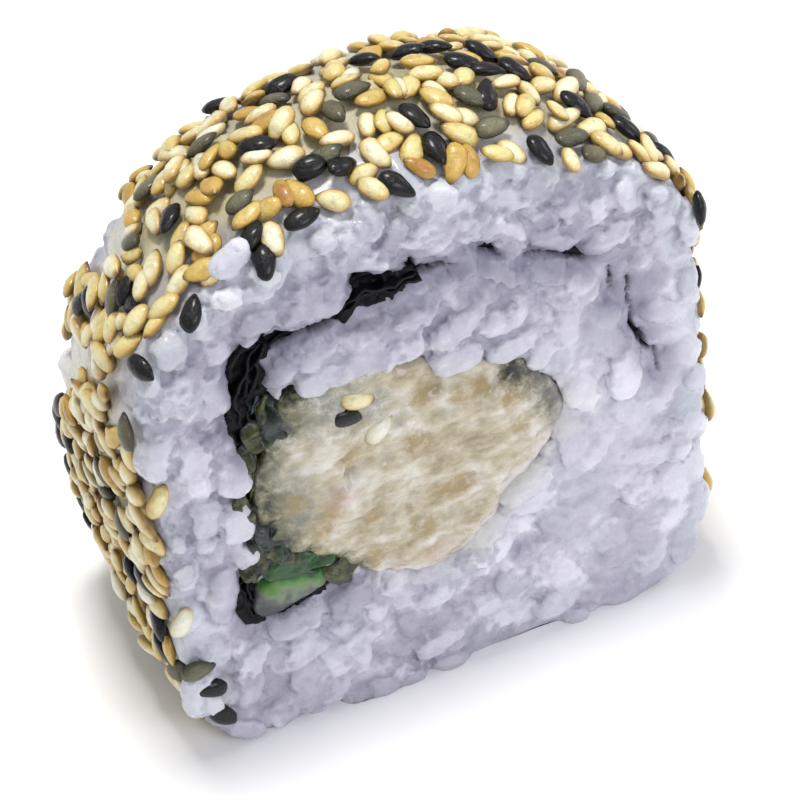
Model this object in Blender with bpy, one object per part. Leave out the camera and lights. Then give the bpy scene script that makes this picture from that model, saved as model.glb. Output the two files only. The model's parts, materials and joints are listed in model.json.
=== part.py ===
"""One piece of an inside-out sushi roll, standing on its rolled side with a cut face to the front.

Rice on the outside, set with sesame seeds; a sheet of nori rolled in a spiral; a shredded salad
filling, a lettuce leaf and a strip of cucumber. Millimetres are used below and turned into metres
where a mesh is made. X is across, Y along the roll (the cut face in front is at -Y), Z is up.
"""

import math

import bpy
import numpy as np

MM = 0.001

# Rice body
WIDTH = 46.0
LENGTH = 24.0
HEIGHT = 49.0
WALL_FRONT = 37.5  # height at which the straight walls of the front cut turn into the arch
WALL_BACK = 17.5
ARCH_FRONT = 2.05  # exponents of the section: 2 is an ellipse, 9 a square with small corners
ARCH_BACK = 2.3
FOOT_FRONT = 8.6
FOOT_BACK = 2.4
BACK_WIDER = 0.05
BARREL_TOP = 0.08  # how far the roll swells between its cuts, as a share of the size
BARREL_RIGHT = 0.045
BARREL_LEFT = 0.035
BACK_LEAN = -0.20  # mm of length for each mm of height
BACK_TURN = 0.08
BASE_TRIM = 0.7  # pressed flat where the roll stands
CENTRE = (0.1, 2.14)  # X and Y of the middle of the finished piece
RING = 44
STATIONS = (0.0, 0.04, 0.14, 0.3, 0.5, 0.7, 0.88, 0.97, 1.0)

# Grains and seeds
GRAIN = (5.6, 2.7, 2.3)
SEED = (3.2, 1.8, 1.1)
GRAINS_FRONT = 54
GRAINS_BACK = 34
SEEDS_ON_SKIN = 148
SEED_GAP = 3.6  # least distance between the middles of two seeds

# Nori
NORI_THICK = 0.6
NORI_CENTRE = (0.5, 25.8)
NORI_WIDE = 18.6
NORI_HIGH = 15.9
NORI_START = math.radians(2)
NORI_END = math.radians(391)
NORI_STEPS = 66
NORI_CORNER = 0.36  # the lower left corner is squarer than the rest of the spiral
NORI_SHOULDER = 0.86  # and the first shoulder, at the upper right, is rounder
NORI_LEAN = 0.1

# Filling
FILL_CENTRE = (-1.5, 23.5)
FILL_HALF = (11.7, 10.5)
FILL_TURN = math.radians(-12)
# Direction in degrees, share of the radius and width in radians of each swelling or hollow
FILL_DENTS = ((219, -0.24, 0.34), (-38, -0.13, 0.5), (138, 0.12, 0.35), (75, -0.05, 0.4))
GAP = 0.3  # clear distance between two nodes

# Lettuce leaf and cucumber strip
LEAF_THICK = 0.55
CUCUMBER = (5.9, 3.7)
CUCUMBER_AT = (-13.1, 15.8)
CUCUMBER_TURN = math.radians(-13)


def clear_scene():
    for obj in list(bpy.data.objects):
        bpy.data.objects.remove(obj, do_unlink=True)


def power(value, exponent):
    return np.sign(value) * np.abs(value) ** exponent


def section(t, count=RING):
    """The roll's outline at t, 0 at the front cut and 1 at the back: evenly spaced (x, z) points."""
    angle = math.pi / 2 - np.linspace(0, 2 * math.pi, 721)[:-1]
    c, s = np.cos(angle), np.sin(angle)
    swell = math.sin(math.pi * t) ** 0.8
    wall = WALL_FRONT * (1 - t) + WALL_BACK * t
    arch = ARCH_FRONT * (1 - t) + ARCH_BACK * t
    foot = FOOT_FRONT * (1 - t) + FOOT_BACK * t
    e = np.where(s >= 0, 2 / arch, 2 / foot)
    x = WIDTH / 2 * power(c, e)
    z = np.where(s >= 0, (HEIGHT - wall) * np.abs(s) ** e, -wall * np.abs(s) ** e) + wall
    wider = 1 + BACK_WIDER * t + swell * np.where(x < 0, BARREL_LEFT, BARREL_RIGHT)
    x = x * wider
    z = z * (1 + BARREL_TOP * swell)
    x, z = np.append(x, x[0]), np.append(z, z[0])
    along = np.concatenate([[0], np.cumsum(np.hypot(np.diff(x), np.diff(z)))])
    at = np.linspace(0, along[-1], count + 1)[:-1]
    return np.interp(at, along, x), np.interp(at, along, z)


def depth(t, x, z):
    return -LENGTH / 2 + t * (LENGTH + BACK_TURN * x + BACK_LEAN * (z - HEIGHT / 2))


def skin(t, count=RING):
    x, z = section(t, count)
    return np.stack([x, depth(t, x, z), z], 1)


def placed(points):
    """Into the part's own frame: middle of the piece at X = Y = 0, base at Z = 0."""
    return np.asarray(points, float) - (CENTRE[0], CENTRE[1], BASE_TRIM)


def mesh_object(name, points, faces, collection=None):
    mesh = bpy.data.meshes.new(name)
    mesh.from_pydata((placed(points) * MM).tolist(), [], [tuple(map(int, f)) for f in faces])
    mesh.validate()
    mesh.update()
    obj = bpy.data.objects.new(name, mesh)
    (collection or PART).objects.link(obj)
    return obj


def loft(rings):
    """Points and triangles of a closed solid through rings of equal length, with fan caps."""
    n = len(rings[0])
    points = [p for ring in rings for p in ring]
    faces = []
    for k in range(len(rings) - 1):
        for i in range(n):
            a, b = k * n + i, k * n + (i + 1) % n
            faces += [(a, b, b + n), (a, b + n, a + n)]
    first, last = len(points), len(points) + 1
    points += [np.mean(rings[0], 0), np.mean(rings[-1], 0)]
    top = (len(rings) - 1) * n
    for i in range(n):
        faces.append((first, (i + 1) % n, i))
        faces.append((last, top + i, top + (i + 1) % n))
    return np.array(points), facing_out(np.array(points), faces)


def facing_out(points, faces):
    faces = np.array(faces)
    a, b, c = (points[faces[:, k]] for k in range(3))
    volume = np.einsum("ij,ij->i", a, np.cross(b, c)).sum()
    return faces[:, ::-1] if volume < 0 else faces


def kernel(size, tip, sides=6, rings=2):
    """A seed or a grain: ellipsoid along X, its narrow end at +X where tip is above 0."""
    length, width, height = size
    points = [(-length / 2, 0, 0)]
    stations = -np.cos(np.pi * np.arange(1, rings + 1) / (rings + 1))
    for s in stations:
        r = math.sqrt(1 - s * s) * (1 - tip * s)
        for k in range(sides):
            a = 2 * math.pi * (k + 0.5) / sides
            points.append((s * length / 2, r * width / 2 * math.cos(a), r * height / 2 * math.sin(a)))
    points.append((length / 2, 0, 0))
    faces = []
    for k in range(sides):
        j = (k + 1) % sides
        faces.append((0, 1 + j, 1 + k))
        for r in range(rings - 1):
            a, b = 1 + r * sides + k, 1 + r * sides + j
            faces += [(a, b, b + sides), (a, b + sides, a + sides)]
        top = 1 + (rings - 1) * sides
        faces.append((len(points) - 1, top + k, top + j))
    points = np.array(points)
    return points, facing_out(points, faces)


def frame_of(normal, turn):
    """Three axes as rows: the first lies in the surface at angle turn, the last is the normal."""
    normal = normal / np.linalg.norm(normal)
    other = np.array((0, 1, 0)) if abs(normal[1]) < 0.8 else np.array((1, 0, 0))
    side = np.cross(other, normal)
    side /= np.linalg.norm(side)
    up = np.cross(normal, side)
    first = math.cos(turn) * side + math.sin(turn) * up
    return np.array([first, np.cross(normal, first), normal])


def face_axes(turn, lean_x, lean_z, sign):
    """Axes of a grain on a cut face: its length at angle turn in the face, sign -1 for the front."""
    normal = np.array([lean_x, sign, lean_z])
    normal = normal / np.linalg.norm(normal)
    first = np.array([math.cos(turn), 0, math.sin(turn)])
    first = first - normal * np.dot(first, normal)
    first /= np.linalg.norm(first)
    return np.array([first, np.cross(normal, first), normal])


def spread(rng, wanted, gap, draw):
    """Up to `wanted` places from draw() that keep `gap` apart."""
    found = []
    for _ in range(wanted * 60):
        if len(found) == wanted:
            break
        place = draw(rng)
        if place is None:
            continue
        if all(np.linalg.norm(place[0] - other[0]) > gap for other in found):
            found.append(place)
    return found


def nori_point(angle):
    """Middle of the sheet at an angle of the spiral, which winds inwards from the right."""
    s = (angle + math.radians(14)) / math.radians(374)
    wide = NORI_WIDE - 6.6 * s ** 2.4
    high = NORI_HIGH - 8.0 * np.clip((s - 0.757) / 0.35, 0, None) ** 2
    c, sn = np.cos(angle), np.sin(angle)
    square = np.where((c < 0) & (sn < 0), NORI_CORNER, 0.6)
    square = np.where((c > 0) & (angle < math.pi), NORI_SHOULDER, square)
    x = NORI_CENTRE[0] + wide * power(c, square)
    z = NORI_CENTRE[1] + high * power(sn, square)
    return np.stack([x + NORI_LEAN * (z - NORI_CENTRE[1]) * np.clip(-c, 0, None) ** 0.5, z], -1)


def nori_path():
    """Even steps along the spiral with a small crinkle, their normals, and half the thickness."""
    raw = nori_point(np.linspace(NORI_START, NORI_END, 900))
    along = np.concatenate([[0], np.cumsum(np.hypot(*np.diff(raw, axis=0).T))])
    at = np.linspace(0, along[-1], NORI_STEPS + 1)
    path = np.stack([np.interp(at, along, raw[:, k]) for k in (0, 1)], 1)
    slope = np.gradient(path, axis=0)
    slope /= np.linalg.norm(slope, axis=1, keepdims=True)
    normal = np.stack([slope[:, 1], -slope[:, 0]], 1)
    crinkle = 0.2 * np.sin(at * 0.78) + 0.12 * np.sin(at * 1.2 + 1)
    return path + normal * crinkle[:, None], normal, at


def band(path, normal, half, front, back):
    """A closed strip of the given half thickness between y = front(x, z) and y = back(x, z)."""
    half = np.broadcast_to(half, len(path))[:, None]
    outer, inner = path + normal * half, path - normal * half
    loop = np.concatenate([outer, inner[::-1]])
    n = len(loop)
    points = [(x, front(x, z), z) for x, z in loop] + [(x, back(x, z), z) for x, z in loop]
    faces = []
    for i in range(n):
        j = (i + 1) % n
        faces += [(i, j, j + n), (i, j + n, i + n)]
    m = len(path)
    for i in range(m - 1):
        a, b, c, d = i, i + 1, n - 2 - i, n - 1 - i
        faces += [(a, d, c), (a, c, b), (a + n, c + n, d + n), (a + n, b + n, c + n)]
    points = np.array(points)
    return points, facing_out(points, faces)


def filling_radius(angle):
    """Distance from the filling's middle to its edge, less where the cucumber strip lies."""
    a = angle - FILL_TURN
    c, s = np.abs(np.cos(a)), np.abs(np.sin(a))
    radius = (c ** 2.3 / FILL_HALF[0] ** 2.3 + s ** 2.3 / FILL_HALF[1] ** 2.3) ** (-1 / 2.3)
    for towards, share, spread_over in FILL_DENTS:
        away = np.angle(np.exp(1j * (angle - math.radians(towards))))
        radius = radius * (1 + share * np.exp(-((away / spread_over) ** 2)))
    return radius * (1 + 0.018 * np.sin(7 * angle + 1) + 0.012 * np.sin(11 * angle))


def filling_outline(count, more=0.0):
    angle = np.linspace(0, 2 * math.pi, count + 1)[:-1]
    radius = filling_radius(angle) + more
    return FILL_CENTRE[0] + radius * np.cos(angle), FILL_CENTRE[1] + radius * np.sin(angle)


def back_of(x, z):
    return depth(1, x, z)


def leaf_path(count=30):
    """From the top of the filling down its left side, over the cucumber strip and down beside it."""
    s = np.linspace(0, 1, count)
    fall = np.clip(s / 0.62, 0, 1)
    over = np.clip((s - 0.62) / 0.38, 0, 1)
    x = -13.5 - 1.15 * np.sin(fall * math.pi * 0.6) + 6.0 * over ** 1.15
    z = 35.4 - 16.1 * fall - 1.2 * over - 2.6 * over ** 4
    x = x + 0.15 * np.sin(s * 26)
    path = np.stack([x, z], 1)
    slope = np.gradient(path, axis=0)
    slope /= np.linalg.norm(slope, axis=1, keepdims=True)
    return path, np.stack([slope[:, 1], -slope[:, 0]], 1)


def lumps(x, z):
    """Relief of the shredded filling: strands that run from upper left to lower right."""
    u, v = x * 0.83 - z * 0.55, x * 0.55 + z * 0.83
    return (
        0.34 * np.sin(v * 1.25 + 1.3 * np.sin(u * 0.45))
        + 0.24 * np.sin(u * 0.8 + v * 0.5)
        + 0.16 * np.sin(v * 2.4 + u * 0.9)
    )


def collection(name, parent=None, helper=False):
    made = bpy.data.collections.new(name)
    (parent or bpy.context.scene.collection).children.link(made)
    made.hide_render = helper
    return made


def material(name, colour, roughness, metallic=0.0):
    made = bpy.data.materials.new(name)
    made.use_nodes = True
    shader = made.node_tree.nodes["Principled BSDF"]
    shader.inputs["Base Color"].default_value = (*colour, 1)
    shader.inputs["Roughness"].default_value = roughness
    shader.inputs["Metallic"].default_value = metallic
    return made


def join(obj, helpers, operation, solver="EXACT"):
    """Applies one Boolean of obj with every object of the collection, then removes those."""
    modifier = obj.modifiers.new(operation.title(), "BOOLEAN")
    modifier.operation = operation
    modifier.operand_type = "COLLECTION"
    modifier.collection = helpers
    modifier.solver = solver
    bpy.context.view_layer.update()
    graph = bpy.context.evaluated_depsgraph_get()
    mesh = bpy.data.meshes.new_from_object(obj.evaluated_get(graph))
    obj.modifiers.remove(modifier)
    obj.data = mesh
    for other in list(helpers.objects):
        bpy.data.objects.remove(other, do_unlink=True)
    print(obj.name, operation, len(mesh.polygons), "faces")


def keep_largest(obj):
    """Drops the loose scraps and closed pockets that a cut leaves."""
    mesh = obj.data
    mesh.calc_loop_triangles()
    points = np.array([v.co for v in mesh.vertices])
    root = list(range(len(points)))

    def find(i):
        while root[i] != i:
            root[i] = root[root[i]]
            i = root[i]
        return i

    triangles = [tuple(t.vertices) for t in mesh.loop_triangles]
    for a, b, c in triangles:
        root[find(a)] = find(b)
        root[find(b)] = find(c)
    volumes = {}
    for a, b, c in triangles:
        key = find(a)
        volumes[key] = volumes.get(key, 0) + float(np.dot(points[a], np.cross(points[b], points[c])))
    best = max(volumes, key=volumes.get)
    kept = [t for t in triangles if find(t[0]) == best]
    used = sorted({i for t in kept for i in t})
    number = {old: new for new, old in enumerate(used)}
    fresh = bpy.data.meshes.new(obj.name)
    fresh.from_pydata(points[used].tolist(), [], [tuple(number[i] for i in t) for t in kept])
    obj.data = fresh
    print(obj.name, "bodies", len(volumes), "triangles", len(kept))


def add_kernel(helpers, name, size, tip, centre, axes, sides=6, rings=2):
    points, faces = kernel(size, tip, sides, rings)
    mesh_object(name, points @ axes + centre, faces, helpers)


def rice_places(rng, t, count, gap):
    """Places for grains on a cut face, in the rice only: clear of the nori and the filling."""
    path, _, _ = nori_path()
    edge_x, edge_z = section(t, 180)
    middle = np.array([0.0, edge_z.mean()])

    def clear(x, z, margin):
        j = int(np.argmin(np.hypot(edge_x - x, edge_z - z)))
        inward = middle - (edge_x[j], edge_z[j])
        inside = np.dot(np.array([x - edge_x[j], z - edge_z[j]]), inward) / np.linalg.norm(inward)
        away = math.hypot(x - FILL_CENTRE[0], z - FILL_CENTRE[1])
        angle = math.atan2(z - FILL_CENTRE[1], x - FILL_CENTRE[0])
        return (
            inside > margin - 0.4
            and z > BASE_TRIM + margin
            and np.hypot(path[:, 0] - x, path[:, 1] - z).min() > margin + 0.6
            and away > filling_radius(np.array(angle)) + margin + 0.4
            and not (-18 < x < -9 and 12 < z < 38)
        )

    def draw(rng):
        x, z = rng.uniform(-WIDTH / 2, WIDTH / 2), rng.uniform(1, HEIGHT)
        turn, size = rng.uniform(0, math.pi), rng.uniform(0.8, 1.08)
        reach = 0.36 * GRAIN[0] * size
        tips = [(x + k * reach * math.cos(turn), z + k * reach * math.sin(turn)) for k in (-1, 1)]
        if not clear(x, z, 1.3) or not all(clear(*tip, 0.6) for tip in tips):
            return None
        return np.array([x, z]), turn, size

    return spread(rng, count, gap, draw)


def make_rice():
    rng = np.random.default_rng(41)
    body = mesh_object("rice", *loft([skin(t) for t in STATIONS]))
    pieces = collection("rice_pieces", CUTTERS)

    for number, (at, turn, size) in enumerate(rice_places(rng, 0, GRAINS_FRONT, 3.1)):
        axes = face_axes(turn, 0.1 * rng.normal(), 0.1 * rng.normal(), -1)
        centre = np.array([at[0], -LENGTH / 2 + 0.15 + 0.3 * rng.random(), at[1]])
        add_kernel(pieces, f"front_grain_{number}", np.array(GRAIN) * size, 0.05, centre, axes)

    for number, (at, turn, size) in enumerate(rice_places(rng, 1, GRAINS_BACK, 3.6)):
        axes = face_axes(turn, -BACK_TURN, -BACK_LEAN, 1)
        centre = np.array([at[0], back_of(*at) - 0.15 - 0.3 * rng.random(), at[1]])
        add_kernel(pieces, f"back_grain_{number}", np.array(GRAIN) * size, 0.05, centre, axes)

    # Three grains stand proud of the front cut: two along its lower edge and one upright at the right.
    for number, (x, z, turn, out) in enumerate(
        ((-7.2, 2.4, 0.2, 0.9), (-13.5, 2.2, 2.9, 0.5), (16.1, 26.3, 1.45, 0.5))
    ):
        axes = face_axes(turn, 0, -0.2, -1)
        centre = np.array([x, -LENGTH / 2 + 0.5 - out, z])
        add_kernel(pieces, f"proud_grain_{number}", (6.2, 3.2, 3.0), 0.05, centre, axes, 8, 3)

    def draw(rng):
        t, u = rng.uniform(0.04, 0.97), rng.uniform(0, 1)
        ring, next_ring = skin(max(t - 0.02, 0), 360), skin(min(t + 0.02, 1), 360)
        i = int(u * 360)
        centre = (ring[i] + next_ring[i]) / 2
        if centre[2] < BASE_TRIM + 0.9 and abs(centre[0]) < 19:
            return None
        across = ring[(i + 3) % 360] - ring[i - 3]
        normal = np.cross(next_ring[i] - ring[i], across)
        if np.dot(normal, centre - (0, 0, HEIGHT / 2)) < 0:
            normal = -normal
        return centre, normal, rng.uniform(0, 2 * math.pi), rng.uniform(0.88, 1.08)

    seeds = spread(rng, SEEDS_ON_SKIN, SEED_GAP, draw)
    for number, (centre, normal, turn, size) in enumerate(seeds):
        axes = frame_of(normal, turn)
        add_kernel(
            pieces, f"seed_{number}", np.array(SEED) * size, 0.22, centre + axes[2] * 0.22, axes
        )
    # Two seeds lie on the front cut, by its lower left corner.
    for number, (x, z, turn) in enumerate(((-20.6, 8.4, 0.3), (-19.6, 5.6, 1.9))):
        axes = face_axes(turn, 0, 0, -1)
        add_kernel(
            pieces, f"face_seed_{number}", SEED, 0.22, np.array([x, -LENGTH / 2 - 0.55, z]), axes
        )
    print("seeds", len(seeds), "pieces", len(pieces.objects))
    join(body, pieces, "UNION", UNION_SOLVER)

    cuts = collection("rice_cuts", CUTTERS)
    path, normal, _ = nori_path()
    # The channel runs on past both ends of the sheet.
    ends = (path[0] + (path[0] - path[1]) * 0.5, path[-1] + (path[-1] - path[-2]) * 0.5)
    path = np.concatenate([[ends[0]], path[1:-1], [ends[1]]])
    mesh_object(
        "nori_channel",
        *band(path, normal, nori_half() + GAP, lambda x, z: -40, lambda x, z: 40),
        cuts,
    )
    x, z = filling_outline(48, GAP)
    mesh_object(
        "filling_channel",
        *loft([np.stack([x, np.full(48, y), z], 1) for y in (-40, 40)]),
        cuts,
    )
    path, normal = leaf_path()
    mesh_object(
        "leaf_channel",
        *band(path + normal * -0.35, normal, 1.5, lambda x, z: -40, lambda x, z: 40),
        cuts,
    )
    x, z = cucumber_outline(1.1)
    mesh_object(
        "cucumber_channel",
        *loft([np.stack([x, np.full(len(x), y), z], 1) for y in (-40, 40)]),
        cuts,
    )
    below = [(-60, -60), (60, -60), (60, BASE_TRIM), (-60, BASE_TRIM)]
    mesh_object(
        "under_base", *loft([np.array([(a, y, b) for a, b in below]) for y in (-60, 60)]), cuts
    )
    join(body, cuts, "DIFFERENCE", CUT_SOLVER)
    keep_largest(body)
    return body


def nori_half():
    """Half the sheet's thickness: doubled and crumpled down the left, a single layer elsewhere."""
    path, _, _ = nori_path()
    left = np.exp(-(((path[:, 0] + 15.5) / 2.2) ** 2)) * (path[:, 1] > 12)
    return NORI_THICK / 2 + 0.28 * left


def make_nori():
    path, normal, _ = nori_path()

    def front(x, z):
        wave = 0.22 * math.sin(x * 1.9 + z * 1.3) + 0.14 * math.sin(x * 0.8 - z * 2.7)
        return -LENGTH / 2 + 0.35 + wave

    def back(x, z):
        wave = 0.22 * math.sin(x * 1.7 - z * 1.1) + 0.14 * math.sin(x * 0.9 + z * 2.3)
        return back_of(x, z) - 0.35 - wave

    return mesh_object("nori", *band(path, normal, nori_half(), front, back))


def make_filling():
    around, shells = 44, (0.999, 0.94, 0.8, 0.62, 0.42, 0.2)
    angle = np.linspace(0, 2 * math.pi, around + 1)[:-1]
    edge = filling_radius(angle) - 0.02

    def ring(share, front):
        x = FILL_CENTRE[0] + edge * share * np.cos(angle)
        z = FILL_CENTRE[1] + edge * share * np.sin(angle)
        rise = 0.75 * (1 - share ** 4) + lumps(x, z) * (1 - share ** 6)
        y = -LENGTH / 2 + 0.25 - rise if front else back_of(x, z) - 0.25 + rise
        return np.stack([x, y, z], 1)

    rings = [ring(s, True) for s in reversed(shells)] + [ring(s, False) for s in shells]
    body = mesh_object("filling", *loft(rings))
    seeds = collection("filling_seeds", CUTTERS)
    for number, (x, z, turn) in enumerate(((-6.9, 31.0, 0.1), (-6.0, 32.1, 0.5), (-4.5, 28.6, 1.2))):
        axes = face_axes(turn, 0, 0.1, -1)
        y = -LENGTH / 2 + 0.25 - 0.75 - float(lumps(x, z)) - 0.1
        add_kernel(seeds, f"filling_seed_{number}", SEED, 0.22, np.array([x, y, z]), axes)
    join(body, seeds, "UNION", UNION_SOLVER)
    keep_largest(body)
    return body


def make_leaf():
    path, normal = leaf_path()
    n, levels = len(path), 6
    outer, inner = [], []
    for k in range(levels):
        share = k / (levels - 1)
        for i in range(n):
            x, z = path[i]
            low, high = -LENGTH / 2 - 0.25, back_of(x, z) + 0.25
            frill = 0.25 * math.sin(i * 1.1) * (1 - 2 * share) * (abs(1 - 2 * share) > 0.9)
            y = low + (high - low) * share + frill
            wave = 0.14 * math.sin(i * 0.9 + k * 1.7)
            for side, points in ((1, outer), (-1, inner)):
                points.append(
                    (x + normal[i, 0] * (wave + side * LEAF_THICK / 2), y,
                     z + normal[i, 1] * (wave + side * LEAF_THICK / 2))
                )
    points = outer + inner
    half = len(outer)
    faces = []
    for k in range(levels - 1):
        for i in range(n - 1):
            a, b, c, d = k * n + i, k * n + i + 1, (k + 1) * n + i + 1, (k + 1) * n + i
            faces += [(a, b, c), (a, c, d)]
            faces += [(a + half, c + half, b + half), (a + half, d + half, c + half)]
    rim = (
        [i for i in range(n)]
        + [k * n + n - 1 for k in range(1, levels)]
        + [(levels - 1) * n + i for i in range(n - 2, -1, -1)]
        + [k * n for k in range(levels - 2, 0, -1)]
    )
    for a, b in zip(rim, rim[1:] + rim[:1]):
        faces += [(b, a, a + half), (b, a + half, b + half)]
    points = np.array(points)
    return mesh_object("lettuce_leaf", points, facing_out(points, faces))


def cucumber_outline(more=0.0, count=14):
    angle = np.linspace(0, 2 * math.pi, count + 1)[:-1]
    x = (CUCUMBER[0] / 2 + more) * power(np.cos(angle), 0.55)
    z = (CUCUMBER[1] / 2 + more) * power(np.sin(angle), 0.55)
    c, s = math.cos(CUCUMBER_TURN), math.sin(CUCUMBER_TURN)
    return CUCUMBER_AT[0] + x * c - z * s, CUCUMBER_AT[1] + x * s + z * c


def make_cucumber():
    x, z = cucumber_outline()
    count = len(x)
    front = -LENGTH / 2 - 0.3 + 0.15 * np.sin(x * 2)
    back = np.array([back_of(a, b) for a, b in zip(x, z)]) + 0.2
    rings = [np.stack([x, front, z], 1), np.stack([x, back, z], 1)]
    return mesh_object("cucumber_strip", *loft(rings))


UNION_SOLVER = "MANIFOLD"
CUT_SOLVER = "MANIFOLD"

clear_scene()
PART = collection("uramaki_roll_piece")
CUTTERS = collection("cutters", helper=True)

LOOKS = {
    "rice": material("cooked_rice", (0.62, 0.60, 0.68), 0.45),
    "nori": material("nori_sheet", (0.012, 0.012, 0.018), 0.4),
    "filling": material("shredded_salad", (0.60, 0.50, 0.34), 0.4),
    "lettuce_leaf": material("lettuce", (0.03, 0.07, 0.03), 0.4),
    "cucumber_strip": material("cucumber", (0.12, 0.28, 0.08), 0.35),
}
for made in (make_rice(), make_nori(), make_filling(), make_leaf(), make_cucumber()):
    made.data.materials.clear()
    made.data.materials.append(LOOKS[made.name])
for extra in list(CUTTERS.children):
    bpy.data.collections.remove(extra)
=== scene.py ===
# %% [markdown]
# # One piece of inside-out sushi roll
#
# The real thing: a block of cooked short-grain rice, rolled round a sheet of seaweed and a wet,
# shredded salad, set with sesame seeds and cut across with a knife. It stands on its rolled side
# with a cut face to the front.
#
# The solids from the CAD model give the place and size of each food. This script dresses them:
# each food becomes a mesh with its true small forms and a material made of nodes. Lengths are
# written in millimetres and turned into metres where a mesh is made.

# %% Load the frame
import json
import math

import bmesh
import bpy
import numpy as np
from mathutils import Matrix, Vector
from mathutils.kdtree import KDTree

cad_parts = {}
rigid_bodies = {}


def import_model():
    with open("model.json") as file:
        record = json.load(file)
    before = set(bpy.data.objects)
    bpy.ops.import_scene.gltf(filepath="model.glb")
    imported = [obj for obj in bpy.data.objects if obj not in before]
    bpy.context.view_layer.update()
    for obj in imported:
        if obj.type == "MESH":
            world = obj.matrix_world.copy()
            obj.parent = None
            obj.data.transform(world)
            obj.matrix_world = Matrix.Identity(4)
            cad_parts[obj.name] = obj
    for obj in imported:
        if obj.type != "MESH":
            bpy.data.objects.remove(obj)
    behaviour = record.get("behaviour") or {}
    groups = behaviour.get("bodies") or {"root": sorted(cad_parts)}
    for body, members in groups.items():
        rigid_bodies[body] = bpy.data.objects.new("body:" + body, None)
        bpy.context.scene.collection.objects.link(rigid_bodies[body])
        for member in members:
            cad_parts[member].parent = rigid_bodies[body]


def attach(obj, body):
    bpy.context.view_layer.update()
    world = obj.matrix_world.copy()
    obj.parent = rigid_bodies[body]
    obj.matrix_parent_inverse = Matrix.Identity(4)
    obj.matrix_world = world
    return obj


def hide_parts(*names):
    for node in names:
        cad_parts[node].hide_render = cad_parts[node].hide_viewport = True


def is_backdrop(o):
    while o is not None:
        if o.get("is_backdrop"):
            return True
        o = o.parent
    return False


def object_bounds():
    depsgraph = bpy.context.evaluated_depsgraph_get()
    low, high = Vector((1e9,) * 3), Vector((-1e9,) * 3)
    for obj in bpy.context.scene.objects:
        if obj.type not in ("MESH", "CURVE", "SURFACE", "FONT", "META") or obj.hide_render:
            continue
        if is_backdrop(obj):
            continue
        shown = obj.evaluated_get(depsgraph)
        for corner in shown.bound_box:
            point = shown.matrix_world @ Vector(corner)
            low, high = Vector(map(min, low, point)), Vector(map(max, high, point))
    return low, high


for startup_object in list(bpy.data.objects):
    bpy.data.objects.remove(startup_object, do_unlink=True)

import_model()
cad_low, cad_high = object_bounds()
MM = 0.001
print("CAD size in mm", [round((b - a) / MM, 1) for a, b in zip(cad_low, cad_high)])

# %% [markdown]
# ## The roll's own measures
#
# These are the measures of the CAD model, repeated here because every grain and seed is placed
# on the same surfaces. The section is a superellipse: a loaf shape at the front cut that turns
# into a rounder one at the back, and swells a little in between, as rice does when it is cut.

# %% Measures in millimetres
WIDTH, LENGTH, HEIGHT = 46.0, 24.0, 49.0
WALL_FRONT, WALL_BACK = 37.5, 17.5
ARCH_FRONT, ARCH_BACK = 2.05, 2.3
FOOT_FRONT, FOOT_BACK = 8.6, 2.4
BACK_WIDER = 0.05
BARREL_TOP, BARREL_RIGHT, BARREL_LEFT = 0.07, 0.04, 0.035
BACK_LEAN, BACK_TURN = -0.20, 0.08
BASE_TRIM = 0.7
MIDDLE = np.array((0.1, 2.14, BASE_TRIM))
FRONT = -LENGTH / 2


def power(value, exponent):
    return np.sign(value) * np.abs(value) ** exponent


def section(t, count):
    """The roll's outline at t, 0 at the front cut and 1 at the back: even (x, z) points."""
    angle = math.pi / 2 - np.linspace(0, 2 * math.pi, 721)[:-1]
    c, s = np.cos(angle), np.sin(angle)
    swell = math.sin(math.pi * t) ** 0.8
    wall = WALL_FRONT * (1 - t) + WALL_BACK * t
    arch = ARCH_FRONT * (1 - t) + ARCH_BACK * t
    foot = FOOT_FRONT * (1 - t) + FOOT_BACK * t
    e = np.where(s >= 0, 2 / arch, 2 / foot)
    x = WIDTH / 2 * power(c, e)
    z = np.where(s >= 0, (HEIGHT - wall) * np.abs(s) ** e, -wall * np.abs(s) ** e) + wall
    x = x * (1 + BACK_WIDER * t + swell * np.where(x < 0, BARREL_LEFT, BARREL_RIGHT))
    z = z * (1 + BARREL_TOP * swell)
    x, z = np.append(x, x[0]), np.append(z, z[0])
    along = np.concatenate([[0], np.cumsum(np.hypot(np.diff(x), np.diff(z)))])
    at = np.linspace(0, along[-1], count + 1)[:-1]
    return np.interp(at, along, x), np.interp(at, along, z)


def depth(t, x, z):
    return FRONT + t * (LENGTH + BACK_TURN * x + BACK_LEAN * (z - HEIGHT / 2))


def back_of(x, z):
    return depth(1, x, z)


# %% Skin as a grid of points with normals
STEPS_LONG, STEPS_ROUND = 61, 400
skin_t = np.linspace(0, 1, STEPS_LONG)
skin_points = np.zeros((STEPS_LONG, STEPS_ROUND, 3))
for row, t in enumerate(skin_t):
    ring_x, ring_z = section(t, STEPS_ROUND)
    skin_points[row] = np.stack([ring_x, depth(t, ring_x, ring_z), ring_z], 1)
long_way = np.gradient(skin_points, axis=0)
round_way = (np.roll(skin_points, -1, 1) - np.roll(skin_points, 1, 1)) / 2
skin_normals = np.cross(round_way, long_way)
skin_area = np.linalg.norm(skin_normals, axis=2)
skin_normals /= skin_area[..., None]
outward = skin_points - np.array((0, 0, HEIGHT / 2))
if (skin_normals * outward).sum() < 0:
    skin_normals = -skin_normals
print("skin area in square mm", round(float(skin_area.sum())))

# %% [markdown]
# ## Small tools
#
# A mesh is built as arrays of points and faces, because thousands of grains and seeds are quick
# to make that way. Lattice noise gives smooth random numbers in space. It is written here, not
# taken from a texture, so that it can move points as well as colour them.

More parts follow.
